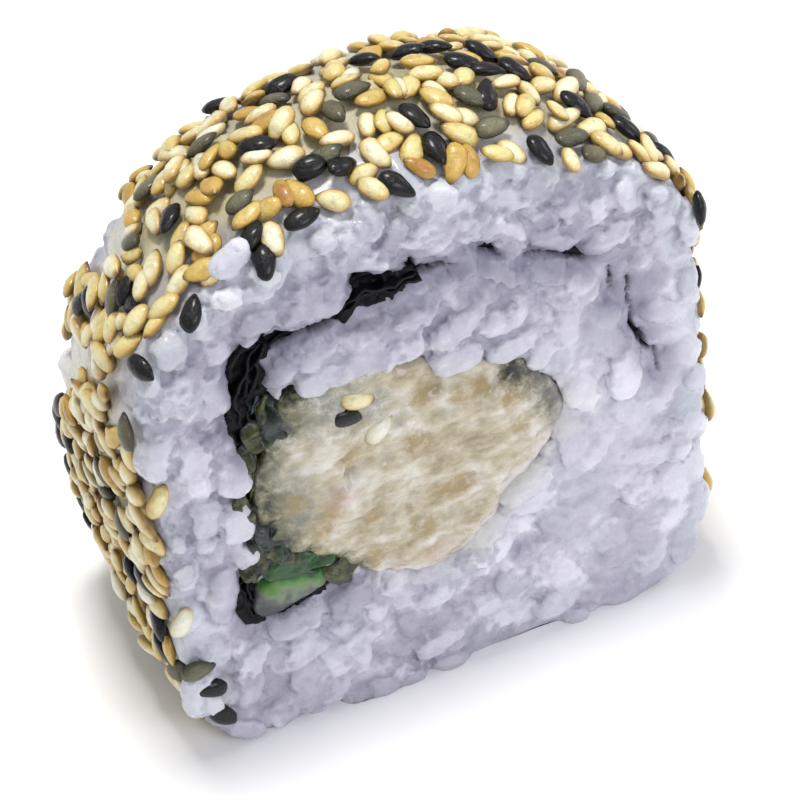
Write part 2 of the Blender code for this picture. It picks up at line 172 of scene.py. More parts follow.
# %% Meshes and noise
def mesh_object(name, points, faces, smooth=True):
    """A mesh object from points in millimetres, moved into the CAD frame."""
    mesh = bpy.data.meshes.new(name)
    points = (np.asarray(points, float) - MIDDLE) * MM
    faces = np.asarray(faces)
    corners = faces.shape[1]
    mesh.vertices.add(len(points))
    mesh.vertices.foreach_set("co", points.ravel())
    mesh.loops.add(faces.size)
    mesh.loops.foreach_set("vertex_index", faces.ravel().astype(np.int32))
    mesh.polygons.add(len(faces))
    mesh.polygons.foreach_set("loop_start", np.arange(0, faces.size, corners, dtype=np.int32))
    mesh.polygons.foreach_set("use_smooth", np.full(len(faces), smooth))
    mesh.update(calc_edges=True)
    mesh.validate()
    made = bpy.data.objects.new(name, mesh)
    bpy.context.scene.collection.objects.link(made)
    return made


def points_of(mesh):
    """The mesh's points in millimetres, in the roll's own measures."""
    flat = np.empty(len(mesh.vertices) * 3, np.float32)
    mesh.vertices.foreach_get("co", flat)
    return flat.reshape(-1, 3).astype(float) / MM + MIDDLE


def set_points(mesh, points):
    mesh.vertices.foreach_set("co", ((points - MIDDLE) * MM).astype(np.float32).ravel())
    mesh.update()


def normals_of(mesh):
    flat = np.empty(len(mesh.vertices) * 3, np.float32)
    mesh.vertex_normals.foreach_get("vector", flat)
    return flat.reshape(-1, 3).astype(float)


def store(mesh, name, values):
    """A number for each point, which a material reads with an Attribute node."""
    attribute = mesh.attributes.new(name, "FLOAT", "POINT")
    attribute.data.foreach_set("value", np.asarray(values, np.float32))


def lattice(cell, seed):
    mixed = cell @ np.array((127.1, 311.7, 74.7)) + seed * 53.3
    return (np.sin(mixed) * 43758.5453) % 1.0


def noise(points, size, seed=0):
    """Smooth noise from -1 to 1 whose bumps are about `size` mm across."""
    q = np.asarray(points) / size
    cell = np.floor(q)
    f = q - cell
    f = f * f * (3 - 2 * f)
    total = 0
    for i in (0, 1):
        for j in (0, 1):
            for k in (0, 1):
                weight = (
                    (f[:, 0] if i else 1 - f[:, 0]) * (f[:, 1] if j else 1 - f[:, 1])
                    * (f[:, 2] if k else 1 - f[:, 2])
                )
                total = total + weight * lattice(cell + (i, j, k), seed)
    return total * 2 - 1


def smoothstep(low, high, value):
    s = np.clip((value - low) / (high - low), 0, 1)
    return s * s * (3 - 2 * s)


# %% Joining closed shapes
def facing_out(points, faces):
    a, b, c = (points[faces[:, k]] for k in (0, 1, 2))
    volume = np.einsum("ij,ij->i", a, np.cross(b, c)).sum()
    return faces[:, ::-1] if volume < 0 else faces


def loft(rings):
    """A closed solid through rings of equal length, with fan caps."""
    rings = np.asarray(rings)
    levels, n, _ = rings.shape
    i = np.arange(n)
    j = (i + 1) % n
    faces = []
    for k in range(levels - 1):
        faces.append(np.stack([k * n + i, k * n + j, (k + 1) * n + j], 1))
        faces.append(np.stack([k * n + i, (k + 1) * n + j, (k + 1) * n + i], 1))
    first, last, top = levels * n, levels * n + 1, (levels - 1) * n
    faces.append(np.stack([np.full(n, first), j, i], 1))
    faces.append(np.stack([np.full(n, last), top + i, top + j], 1))
    points = np.concatenate([rings.reshape(-1, 3), [rings[0].mean(0), rings[-1].mean(0)]])
    return points, facing_out(points, np.concatenate(faces))


def together(solids):
    """One pair of arrays from many (points, faces) pairs."""
    points, faces, start = [], [], 0
    for p, f in solids:
        points.append(p)
        faces.append(f + start)
        start += len(p)
    return np.concatenate(points), np.concatenate(faces)


def apply_modifiers(made):
    graph = bpy.context.evaluated_depsgraph_get()
    mesh = bpy.data.meshes.new_from_object(made.evaluated_get(graph))
    old = made.data
    made.modifiers.clear()
    made.data = mesh
    bpy.data.meshes.remove(old)
    mesh.polygons.foreach_set("use_smooth", np.ones(len(mesh.polygons), bool))
    return mesh


def triangle_count(mesh):
    return sum(len(p.vertices) - 2 for p in mesh.polygons)


# %% [markdown]
# ## Nodes of a material
#
# Colours are written as sRGB hex values, as they are read off a picture, and one function turns
# them into the linear values that a shader works with. One function adds a node: its settings are
# keywords, and `sockets` maps an input to a value or to another node's output.

# %% Colours and nodes
def linear(code):
    parts = [int(code[k : k + 2], 16) / 255 for k in (1, 3, 5)]
    return [c / 12.92 if c <= 0.04045 else ((c + 0.055) / 1.055) ** 2.4 for c in parts] + [1.0]


def add_node(tree, kind, sockets=None, stops=None, output=0, **settings):
    """Adds a node with its settings and links, and gives back one of its outputs."""
    made = tree.nodes.new("ShaderNode" + kind)
    for key, value in settings.items():
        setattr(made, key, value)
    for key, value in (sockets or {}).items():
        if isinstance(value, bpy.types.NodeSocket):
            tree.links.new(value, made.inputs[key])
        else:
            made.inputs[key].default_value = linear(value) if isinstance(value, str) else value
    for number, (place, code) in enumerate(stops or ()):
        slots = made.color_ramp.elements
        slot = slots[number] if number < 2 else slots.new(place)
        slot.position = place
        slot.color = linear(code)
    return made.outputs[output] if len(made.outputs) else made


def new_material(name):
    """A material with an empty tree, and the place on the piece, which stays with it from every side."""
    made = bpy.data.materials.new(name)
    made.use_nodes = True
    made.node_tree.nodes.clear()
    return made, made.node_tree, add_node(made.node_tree, "TexCoord", output="Object")


def finish_material(tree, sockets):
    add_node(tree, "OutputMaterial", {"Surface": add_node(tree, "BsdfPrincipled", sockets)})


def cloudy(tree, place, size_mm, detail, roughness, span, values):
    """Soft blotches of a size in mm: the part of the pattern inside `span` spreads over `values`."""
    look = {"Scale": 1 / (size_mm * MM), "Detail": detail, "Roughness": roughness}
    blotch = add_node(tree, "TexNoise", {"Vector": place, **look})
    low, high = {"From Min": span[0], "To Min": values[0]}, {"From Max": span[1], "To Max": values[1]}
    return add_node(tree, "MapRange", {"Value": blotch, **low, **high})


def relief(tree, place, *layers, normal=None):
    """Bumps on bumps: each layer's size in mm, detail, roughness, strength and height in mm."""
    for size_mm, detail, roughness, strength, height_mm in layers:
        look = {"Scale": 1 / (size_mm * MM), "Detail": detail, "Roughness": roughness}
        rise = {"Height": add_node(tree, "TexNoise", {"Vector": place, **look})}
        rise |= {"Strength": strength, "Distance": height_mm * MM}
        normal = add_node(tree, "Bump", rise if normal is None else {**rise, "Normal": normal})
    return normal


# %% [markdown]
# ## Camera
#
# The camera comes first, because a few black seeds and the gaps in the cut are placed where the
# photograph shows them. They are read off the picture as pixels and shot through this camera onto
# the surface that carries them, so they also sit right from any other side. The lens is long,
# as for a close picture taken from far enough away to keep the whole piece sharp.

# %% Camera at the photograph's angle
TURN, RISE, ROLL = math.radians(-17.34), math.radians(41.225), math.radians(-7.487)
FAR_MM, LENS_MM, SENSOR_MM, PHOTO_PX = 260.0, 145.03, 36.0, 800
AIM_MM = np.array((0.35, -4.64, 21.14))

back_axis = np.array(
    (math.sin(TURN) * math.cos(RISE), -math.cos(TURN) * math.cos(RISE), math.sin(RISE))
)
level_axis = np.array((math.cos(TURN), math.sin(TURN), 0.0))
over_axis = np.cross(back_axis, level_axis)
right_axis = math.cos(ROLL) * level_axis + math.sin(ROLL) * over_axis
up_axis = -math.sin(ROLL) * level_axis + math.cos(ROLL) * over_axis

camera = bpy.data.objects.new("camera", bpy.data.cameras.new("camera"))
bpy.context.scene.collection.objects.link(camera)
camera.data.lens = LENS_MM
camera.data.sensor_width = SENSOR_MM
camera.data.clip_start = 0.01
turned = Matrix((right_axis, up_axis, back_axis)).transposed().to_4x4()
camera.matrix_world = Matrix.Translation((AIM_MM + back_axis * FAR_MM) * MM) @ turned
bpy.context.scene.camera = camera

EYE = AIM_MM + MIDDLE + back_axis * FAR_MM
FOCAL_PX = LENS_MM / SENSOR_MM * PHOTO_PX


def in_photo(points):
    """Where points on the roll fall in the photograph."""
    away = points - EYE
    deep = -(away @ back_axis)
    x = PHOTO_PX / 2 + FOCAL_PX * (away @ right_axis) / deep
    y = PHOTO_PX / 2 - FOCAL_PX * (away @ up_axis) / deep
    return np.stack([x, y], -1)


def way_in_photo(degrees):
    """A direction across the picture, counted from its right and upwards."""
    turn = math.radians(degrees)
    return math.cos(turn) * right_axis + math.sin(turn) * up_axis


def on_cut(px, py):
    """The (x, z) on the front cut that falls at a pixel of the photograph."""
    half = PHOTO_PX / 2
    ray = right_axis * (px - half) / FOCAL_PX + up_axis * (half - py) / FOCAL_PX - back_axis
    hit = EYE + ray * (FRONT - EYE[1]) / ray[1]
    return hit[0], hit[2]


skin_in_photo = in_photo(skin_points)
skin_seen = (skin_normals @ back_axis) > 0.02


def on_skin(px, py):
    """Row and column of the skin point that falls nearest to a pixel of the photograph."""
    miss = np.hypot(skin_in_photo[..., 0] - px, skin_in_photo[..., 1] - py)
    miss = np.where(skin_seen, miss, 1e6)
    return np.unravel_index(int(miss.argmin()), miss.shape)


print("middle of the front cut in the picture", in_photo(np.array((0, FRONT, 24.0))).round())

# %% [markdown]
# ## Where the sheet, the salad, the leaf and the cucumber lie
#
# The nori is a spiral that starts at the right, winds over the top and comes in again below. The
# salad fills the middle of it, with a leaf down its left side and a strip of cucumber at the foot
# of the leaf. All of them run from cut to cut, so their outlines are drawn once in (x, z).

# %% The nori's spiral
NORI_CENTRE, NORI_WIDE, NORI_HIGH = (0.5, 25.8), 18.6, 15.9
NORI_TURNS = (math.radians(2), math.radians(391))
NORI_CORNER, NORI_SHOULDER, NORI_LEAN = 0.36, 0.86, 0.1
NORI_HALF = 0.24
NORI_DENT, NORI_DENT_AT, NORI_DENT_WIDE = 0.06, math.radians(125), math.radians(26)


def nori_point(angle):
    s = (angle + math.radians(14)) / math.radians(374)
    wide = NORI_WIDE - 6.6 * s**2.4
    high = NORI_HIGH - 8.0 * np.clip((s - 0.757) / 0.35, 0, None) ** 2
    c, sn = np.cos(angle), np.sin(angle)
    square = np.where((c < 0) & (sn < 0), NORI_CORNER, 0.6)
    square = np.where((c > 0) & (angle < math.pi), NORI_SHOULDER, square)
    # The upper left shoulder of the roll is pressed in a little.
    pressed = 1 - NORI_DENT * np.exp(-(((angle - NORI_DENT_AT) / NORI_DENT_WIDE) ** 2))
    x = NORI_CENTRE[0] + wide * power(c, square) * pressed
    z = NORI_CENTRE[1] + high * power(sn, square) * pressed
    return np.stack([x + NORI_LEAN * (z - NORI_CENTRE[1]) * np.clip(-c, 0, None) ** 0.5, z], -1)


def length_so_far(line):
    return np.concatenate([[0], np.cumsum(np.hypot(*np.diff(line, axis=0).T))])


def even_path(raw, count):
    """Even steps along a line, with its normals and the length so far."""
    along = length_so_far(raw)
    at = np.linspace(0, along[-1], count)
    path = np.stack([np.interp(at, along, raw[:, k]) for k in (0, 1)], 1)
    slope = np.gradient(path, axis=0)
    slope /= np.linalg.norm(slope, axis=1, keepdims=True)
    return path, np.stack([slope[:, 1], -slope[:, 0]], 1), at


def nori_path(first=NORI_TURNS[0], last=NORI_TURNS[1], count=330):
    """The sheet between two angles of the spiral, with the crinkle of a damp sheet."""
    path, normal, at = even_path(nori_point(np.linspace(first, last, 900)), count)
    crinkle = 0.2 * np.sin(path[:, 0] * 0.9) + 0.14 * np.sin(path[:, 1] * 1.4 + 1)
    return path + normal * crinkle[:, None], normal, at


# %% The salad, the leaf and the cucumber
FILL_CENTRE = (-1.5, 23.5)
# The edge of the salad on the front cut, as pixels of the photograph.
SALAD_SEEN = (
    (285, 395), (304, 384), (337, 378), (364, 370), (407, 366), (440, 362), (483, 362), (514, 362),
    (534, 362), (548, 374), (560, 388), (566, 408), (560, 428), (543, 455), (512, 490), (488, 527),
    (454, 560), (423, 571), (392, 574), (359, 570), (328, 560), (299, 558), (276, 549), (256, 531),
    (250, 507), (254, 483), (259, 465), (266, 445), (274, 424),
)
CUCUMBER_SEEN = (
    (256, 604), (264, 592), (282, 578), (304, 572), (326, 571), (334, 579), (328, 590), (308, 601),
    (288, 611), (268, 619), (256, 616),
)


def seen_outline(pixels):
    return np.array([on_cut(*pixel) for pixel in pixels])


salad_edge = seen_outline(SALAD_SEEN) - FILL_CENTRE
salad_turn = np.arctan2(salad_edge[:, 1], salad_edge[:, 0])
salad_order = np.argsort(salad_turn)
salad_turn, salad_reach = salad_turn[salad_order], np.hypot(*salad_edge[salad_order].T)


def filling_radius(angle):
    turn = np.angle(np.exp(1j * np.asarray(angle)))
    return np.interp(turn, salad_turn, salad_reach, period=2 * math.pi)


def filling_share(x, z):
    """0 at the middle of the salad, 1 at its edge."""
    across, high = x - FILL_CENTRE[0], z - FILL_CENTRE[1]
    return np.hypot(across, high) / filling_radius(np.arctan2(high, across))


def low_right_of_salad(points, degrees, spread):
    """1 where points lie so many degrees below the right of the salad, fading to both sides."""
    towards = np.arctan2(points[:, 2] - FILL_CENTRE[1], points[:, 0] - FILL_CENTRE[0])
    return np.exp(-(((towards + math.radians(degrees)) / spread) ** 2))


def leaf_line(count):
    s = np.linspace(0, 1, 300)
    fall = np.clip(s / 0.62, 0, 1)
    over = np.clip((s - 0.62) / 0.38, 0, 1)
    x = -13.5 - 1.15 * np.sin(fall * math.pi * 0.6) + 6.0 * over**1.15
    z = 35.4 - 16.1 * fall - 1.2 * over - 2.6 * over**4
    return even_path(np.stack([x + 0.15 * np.sin(s * 26), z], 1), count)


def cucumber_outline(more=0.0, count=64):
    """The strip's outline with its corners rounded, and moved out by a margin."""
    edge = seen_outline(CUCUMBER_SEEN)
    edge = np.concatenate([edge, edge[:1]])
    along = length_so_far(edge)
    at = np.linspace(0, along[-1], count + 1)[:-1]
    line = np.stack([np.interp(at, along, edge[:, k]) for k in (0, 1)], 1)
    for _ in range(4):
        line = (np.roll(line, 1, 0) + 2 * line + np.roll(line, -1, 0)) / 4
    slope = np.roll(line, -1, 0) - np.roll(line, 1, 0)
    slope /= np.linalg.norm(slope, axis=1, keepdims=True)
    out = np.stack([slope[:, 1], -slope[:, 0]], 1)
    middle = line.mean(0)
    out *= np.sign(((line - middle) * out).sum())
    return (line + out * more).T


CUCUMBER_AT = np.mean(cucumber_outline(), 1)
print("length of the nori in mm", round(float(nori_path()[2][-1])))
print("size of the salad in mm", (2 * filling_radius(np.arange(4) * math.pi / 2)).round(1))

# %% [markdown]
# ## Rice
#
# Short-grain rice sticks together when it is pressed, so the grains have no sharp gaps between
# them: they melt into one mass with soft hollows. Separate grains on a block would look like
# pebbles. Here every grain is its own bent, blunt solid. All of them and the block are then turned
# into one skin with a voxel remesh, which rounds the places where they meet.
#
# The grains on a cut are pressed nearly flat by the knife, while those on the outside lie along
# the skin. Shallow channels in the block hold the nori, the salad, the leaf and the cucumber.
# They are only as deep as the eye can see into them, which saves points for the grains.

# %% A grain and many of them
GRAIN_SIZE = np.array((5.6, 3.15, 2.5))


def ball(sides, rings):
    """Points and triangles of a unit ball along X."""
    turn = 2 * math.pi * np.arange(sides) / sides
    points = [[(-1.0, 0.0, 0.0)]]
    for s in -np.cos(math.pi * np.arange(1, rings + 1) / (rings + 1)):
        r = math.sqrt(1 - s * s)
        points.append(np.stack([np.full(sides, s), r * np.cos(turn), r * np.sin(turn)], 1))
    points.append([(1.0, 0.0, 0.0)])
    faces = []
    last = 1 + sides * rings
    top = last - sides
    for k in range(sides):
        j = (k + 1) % sides
        faces += [(0, 1 + j, 1 + k), (last, top + k, top + j)]
        for row in range(rings - 1):
            a, b = 1 + row * sides + k, 1 + row * sides + j
            faces += [(a, b, b + sides), (a, b + sides, a + sides)]
    points = np.concatenate(points)
    return points, facing_out(points, np.array(faces))


def frame_of(normal, along):
    """Axes as rows: the first lies in the surface as near to `along` as it can, the last is out."""
    normal = normal / np.linalg.norm(normal)
    first = along - normal * np.dot(along, normal)
    first /= np.linalg.norm(first)
    return np.array([first, np.cross(normal, first), normal])


GRAIN_BALL, GRAIN_FACES = ball(14, 8)
grain_places, grain_tones = [], []


def grain(rng, centre, axes, size, tone=None):
    """One cooked grain: blunt, bent, dented and never twice the same. Its tone is kept for later."""
    x, y, z = GRAIN_BALL.T
    blunt = power(x, 0.8)
    bend, taper = rng.uniform(-0.25, 0.25), rng.uniform(-0.18, 0.18)
    width = 1 - taper * blunt
    boxy_y, boxy_z = power(y, 0.85), power(z, 0.85)
    local = np.stack([blunt, boxy_y * width + bend * (blunt**2 - 0.4), boxy_z * width], 1)
    local = local * size / 2
    local = local * (1 + 0.13 * noise(local + 40 * rng.random(3), 1.7, 3))[:, None]
    points = local @ axes + centre
    grain_places.append(points)
    grain_tones.append(np.clip(rng.normal(0.5, 0.3), 0, 1) if tone is None else tone)
    return points, GRAIN_FACES


def scatter(tries, gap, draw):
    """Places from draw() that keep `gap` apart."""
    found = np.zeros((0, 3))
    kept = []
    for _ in range(tries):
        drawn = draw()
        if drawn is None:
            continue
        if len(found) and np.linalg.norm(found - drawn[0], axis=1).min() < gap:
            continue
        found = np.concatenate([found, [drawn[0]]])
        kept.append(drawn)
    return kept


# %% Where the front cut stands open
# Each line runs along a gap that the photograph shows: pixels, and half the gap's width in mm.
OPENINGS = (
    ((414, 264, 0.1), (415, 270, 0.3), (417, 277, 0.25)),
    ((418, 280, 0.3), (440, 277, 0.16), (460, 269, 0.1)),
    ((487, 257, 0.1), (495, 256, 0.3), (503, 259, 0.1)),
    ((530, 261, 0.12), (550, 258, 0.16), (567, 257, 0.2), (575, 260, 0.42), (590, 266, 0.14)),
    ((614, 272, 0.1), (616, 284, 0.17), (617, 295, 0.1)),
    ((634, 286, 0.2), (631, 300, 0.12), (636, 315, 0.07), (634, 328, 0.16), (642, 338, 0.22)),
    ((642, 338, 0.22), (650, 352, 0.22), (660, 355, 0.12), (661, 373, 0.07)),
    (
        (344, 324, 0.15), (356, 308, 0.6), (368, 299, 1.0), (386, 297, 0.75), (404, 289, 0.45),
        (420, 280, 0.12),
    ),
    ((367, 291, 0.55), (360, 280, 0.1)),
    ((346, 320, 0.2), (326, 332, 0.35), (296, 342, 0.35), (268, 354, 0.5)),
    ((264, 352, 0.6), (252, 368, 1.1), (249, 400, 1.15), (247, 428, 0.95), (252, 452, 0.5)),
    ((249, 586, 0.3), (250, 604, 0.8), (258, 619, 0.85), (290, 610, 0.65), (326, 592, 0.2)),
)
# The leaf shows down the left of the salad, and over the cucumber.
LEAF_SEEN = ((268, 402), (260, 430), (255, 455), (257, 490), (259, 520), (264, 550), (276, 570))


def pixel_line(pixels, step=0.35):
    """A path on the front cut through pixels of the photograph, with its normals."""
    raw = np.array([on_cut(*pixel) for pixel in pixels])
    along = length_so_far(raw)
    path, normal, _ = even_path(raw, max(5, int(along[-1] / step)))
    return path, normal


def opening(points):
    """A gap as a path with normals, and half its width at each point."""
    path, normal = pixel_line([point[:2] for point in points])
    ends = np.linspace(0, 1, len(points))
    half = np.interp(np.linspace(0, 1, len(path)), ends, [point[2] for point in points])
    return path, normal, half


open_lines = [opening(points) for points in OPENINGS]
open_points = np.concatenate([line for line, _, _ in open_lines])
open_half = np.concatenate([half for _, _, half in open_lines])
leaf_points = pixel_line(LEAF_SEEN)[0]
whole_nori = nori_path()[0]
cut_edge = {0: np.stack(section(0, 400), 1), 1: np.stack(section(1, 400), 1)}
cucumber_line = np.stack(cucumber_outline(), 1)


def in_rice(x, z, t, margin, slot):
    """True where a grain of half width `margin` lies in the rice of a cut and off the fillings."""
    edge = cut_edge[t]
    near = int(np.argmin(np.hypot(edge[:, 0] - x, edge[:, 1] - z)))
    inward = np.array((0.0, 25.0)) - edge[near]
    inside = np.dot(np.array((x, z)) - edge[near], inward) / np.linalg.norm(inward)
    if inside < margin or z < BASE_TRIM + margin:
        return False
    if filling_share(x, z) < 1.0 + 0.045 * margin:
        return False
    if np.hypot(cucumber_line[:, 0] - x, cucumber_line[:, 1] - z).min() < margin + 0.1:
        return False
    if t == 0:
        if np.hypot(leaf_points[:, 0] - x, leaf_points[:, 1] - z).min() < 0.5 + margin * 0.8:
            return False
        away = np.hypot(open_points[:, 0] - x, open_points[:, 1] - z) - open_half
        return away.min() > margin * slot
    if -15.4 - margin * 0.6 < x < -10 and 13 < z < 37:
        return False
    return np.hypot(whole_nori[:, 0] - x, whole_nori[:, 1] - z).min() > 0.45 + margin * slot


# %% Grains on the two cuts
LEFT_WALL, END_ON_SHARE = -16.5, 0.05


def cut_grains(rng, t, gap, tries):
    """Grains pressed into a cut. Some lie end on to it, most of all in the wall at the left."""
    sign = -1 if t == 0 else 1

    def draw():
        x, z = rng.uniform(-23.5, 23.5), rng.uniform(1, HEIGHT + 1)
        turn, scale = rng.uniform(0, math.pi), rng.uniform(0.74, 1.12)
        end_on = rng.random() < (0.6 if x < LEFT_WALL else END_ON_SHARE)
        if not in_rice(x, z, t, 1.2, 0.75):
            return None
        if not end_on:
            reach = GRAIN_SIZE[0] * scale * 0.4 * np.array((math.cos(turn), math.sin(turn)))
            tips = [(x + k * reach[0], z + k * reach[1]) for k in (-1, 1)]
            if not all(in_rice(*tip, t, 0.5, 0.8) for tip in tips):
                return None
        return np.array((x, 0.0, z)), turn, scale, end_on

    made = []
    for place, turn, scale, end_on in scatter(tries, gap, draw):
        x, _, z = place
        plane = FRONT if t == 0 else back_of(x, z)
        lean = 0.15 * rng.normal(size=2)
        out = np.array((lean[0], sign, lean[1] - (0 if t == 0 else BACK_LEAN)))
        flat = np.array((math.cos(turn), 0, math.sin(turn)))
        if end_on:
            axes = frame_of(flat, out + 0.5 * flat)
            sunk = GRAIN_SIZE[0] * scale / 2 + rng.uniform(-0.55, 0.25)
            size = GRAIN_SIZE * scale * (1.0, 1.12, 1.25)
        else:
            axes = frame_of(out, flat)
            sunk = rng.uniform(0.55, 1.45)
            size = GRAIN_SIZE * scale
        made.append(grain(rng, np.array((x, plane - sign * sunk, z)), axes, size))
    return made


rice_rng = np.random.default_rng(52)
front_grains = cut_grains(rice_rng, 0, 2.1, 14000)
back_grains = cut_grains(rice_rng, 1, 2.2, 9000)
print("grains on the front cut", len(front_grains), "and on the back cut", len(back_grains))

# %% Grains that stand proud of the front cut
# Pixel in the photograph, direction in degrees, size in mm, how far its middle is sunk, and tone.
PROUD_GRAINS = (
    ((625, 367), 82, (6.2, 3.0, 2.6), 0.3, 1.0),
    ((380, 688), 8, (6.4, 3.4, 2.8), 0.3, 0.85),
    ((312, 306), 12, (6.6, 4.2, 2.6), 0.45, 0.35),
    ((262, 318), 30, (4.8, 3.0, 2.4), 0.5, 0.3),
    ((268, 285), 35, (4.6, 2.8, 2.4), 0.6, 0.7),
    ((318, 350), 22, (5.6, 2.8, 2.4), 0.5, 0.55),
    ((285, 372), 40, (4.4, 2.4, 2.4), 0.5, 0.6),
    ((322, 376), 20, (4.6, 2.8, 2.6), 0.2, 0.6),
    ((352, 366), 10, (4.4, 2.8, 2.6), 0.2, 0.55),
    ((365, 345), 15, (5.0, 3.0, 2.4), 0.5, 0.4),
    ((398, 350), 15, (4.8, 3.0, 2.6), 0.25, 0.6),
    ((415, 320), 25, (5.2, 2.8, 2.4), 0.6, 0.5),
    ((455, 330), 30, (5.4, 3.0, 2.5), 0.5, 0.6),
    ((455, 358), 5, (4.6, 2.8, 2.6), 0.2, 0.55),
    ((505, 318), 15, (5.0, 3.0, 2.4), 0.6, 0.7),
    ((515, 344), 10, (4.4, 2.6, 2.5), 0.3, 0.6),
    ((540, 352), 60, (3.2, 2.6, 2.5), 0.3, 0.6),
    ((236, 268), 35, (3.8, 2.4, 2.2), 1.2, 0.85),
    ((360, 235), 20, (5.0, 3.0, 2.5), 0.6, 0.6),
    ((430, 232), 12, (4.8, 3.0, 2.5), 0.5, 0.8),
    ((214, 400), 80, (4.4, 3.4, 2.6), 0.5, 0.75),
    ((170, 402), 40, (4.4, 3.4, 2.6), 0.6, 0.85),
    ((192, 462), 70, (4.2, 3.4, 2.6), 0.5, 0.7),
    ((234, 478), 80, (3.8, 3.0, 2.6), 0.4, 0.75),
    ((236, 525), 85, (3.8, 3.0, 2.6), 0.4, 0.8),
    ((205, 520), 75, (4.2, 3.2, 2.6), 0.6, 0.5),
    ((225, 600), 78, (6.0, 3.0, 2.5), 0.5, 0.5),
    ((200, 695), 75, (4.6, 3.0, 2.6), 0.5, 0.8),
    ((300, 652), 20, (5.4, 3.2, 2.6), 0.5, 0.7),
    ((252, 662), 60, (5.0, 3.0, 2.6), 0.5, 0.75),
    ((330, 690), 15, (4.2, 3.0, 2.6), 0.4, 0.75),
    ((440, 640), 25, (5.0, 3.2, 2.6), 0.4, 0.6),
    ((560, 600), 30, (5.4, 3.2, 2.6), 0.5, 0.7),
    ((640, 480), 70, (5.4, 3.0, 2.5), 0.6, 0.7),
    ((680, 440), 80, (5.0, 3.0, 2.5), 0.6, 0.7),
)
proud = []
for (px, py), degrees, size, sunk, tone in PROUD_GRAINS:
    x, z = on_cut(px, py)
    turn = math.radians(degrees)
    axes = frame_of(np.array((0.0, -1.0, 0.1)), np.array((math.cos(turn), 0, math.sin(turn))))
    proud.append(grain(rice_rng, np.array((x, FRONT + sunk, z)), axes, np.array(size), tone))


# %% Grains along the skin
def skin_place(rng, first=0.03, last=0.97):
    """A random place on the skin: row and column of the grid, even in area."""
    while True:
        row, column = rng.integers(STEPS_LONG), rng.integers(STEPS_ROUND)
        if first <= skin_t[row] <= last and rng.random() * skin_area.max() < skin_area[row, column]:
            return row, column


def skin_grain_place():
    row, column = skin_place(rice_rng)
    return skin_points[row, column], skin_normals[row, column]


skin_grains = []
for place, normal in scatter(5200, 2.3, skin_grain_place):
    scale = rice_rng.uniform(0.75, 1.05)
    axes = frame_of(normal + 0.1 * rice_rng.normal(size=3), rice_rng.normal(size=3))
    sunk = rice_rng.uniform(0.8, 1.3)
    skin_grains.append(grain(rice_rng, place - normal * sunk, axes, GRAIN_SIZE * scale))
print("grains along the skin", len(skin_grains))

# %% [markdown]
# ### The block under the grains
#
# A loft through the sections, half a millimetre under the skin, with the channels cut by one
# Boolean. At the front a channel is open only where the photograph shows the sheet, since the
# knife smeared rice over the rest of it.

# %% Block with its channels
BLOCK_INSET, CHANNEL_DEEP, OPEN_DEEP, FAR_OUT = 0.45, 3.4, 2.8, 40.0


def strip(path, normal, half, side):
    """A closed band between the two y that `side` gives, used to cut a channel."""
    half = np.broadcast_to(half, len(path))[:, None]
    line = np.concatenate([path + normal * half, (path - normal * half)[::-1]])
    n, m = len(line), len(path)
    ends = [np.stack([line[:, 0], y, line[:, 1]], 1) for y in side(line[:, 0], line[:, 1])]
    i = np.arange(n)
    j = (i + 1) % n
    k = np.arange(m - 1)
    a, b, c, d = k, k + 1, n - 2 - k, n - 1 - k
    faces = [
        np.stack([i, j, j + n], 1), np.stack([i, j + n, i + n], 1), np.stack([a, d, c], 1),
        np.stack([a, c, b], 1), np.stack([a + n, c + n, d + n], 1), np.stack([a + n, b + n, c + n], 1),
    ]
    points = np.concatenate(ends)
    return points, facing_out(points, np.concatenate(faces))


def front_side(x, z, deep=CHANNEL_DEEP):
    return np.full(np.shape(x), -FAR_OUT), np.full(np.shape(x), FRONT + deep)


def back_side(x, z):
    return back_of(x, z) - CHANNEL_DEEP, np.full(np.shape(x), FAR_OUT)


def both_cuts(outline_x, outline_z):
    """Two prisms on one outline, which cut a channel into each end."""
    for side in (front_side, back_side):
        low, high = side(outline_x, outline_z)
        yield loft([np.stack([outline_x, y, outline_z], 1) for y in (low, high)])


block_rows = [int(k) for k in np.linspace(1, STEPS_LONG - 2, 21)]
block = mesh_object(
    "rice_dressed",
    *loft([skin_points[k, ::2] - skin_normals[k, ::2] * BLOCK_INSET for k in block_rows]),
)
channels = []
round_angles = np.linspace(0, 2 * math.pi, 97)[:-1]
channel_radius = filling_radius(round_angles) - 0.1
channels += both_cuts(
    FILL_CENTRE[0] + channel_radius * np.cos(round_angles),
    FILL_CENTRE[1] + channel_radius * np.sin(round_angles),
)
channels += both_cuts(*cucumber_outline(0.35))
leaf_at, leaf_out, _ = leaf_line(60)
leaf_seen_at, leaf_seen_out = pixel_line(LEAF_SEEN)
channels.append(strip(leaf_seen_at, leaf_seen_out, 0.85, front_side))
channels.append(strip(leaf_at - leaf_out * 0.35, leaf_out, 1.25, back_side))
for line, line_normal, half in open_lines:
    where = np.stack([line[:, 0], line[:, 0] * 0, line[:, 1]], 1)
    rough = half * (1 + 0.4 * noise(where, 1.1, 21))
    channels.append(strip(line, line_normal, rough, lambda x, z: front_side(x, z, OPEN_DEEP)))
spiral, spiral_normal, _ = nori_path(count=160)
spiral_half = 0.62 + 0.2 * np.sin(spiral[:, 0] * 1.3 + spiral[:, 1] * 1.1)
channels.append(strip(spiral, spiral_normal, spiral_half, back_side))

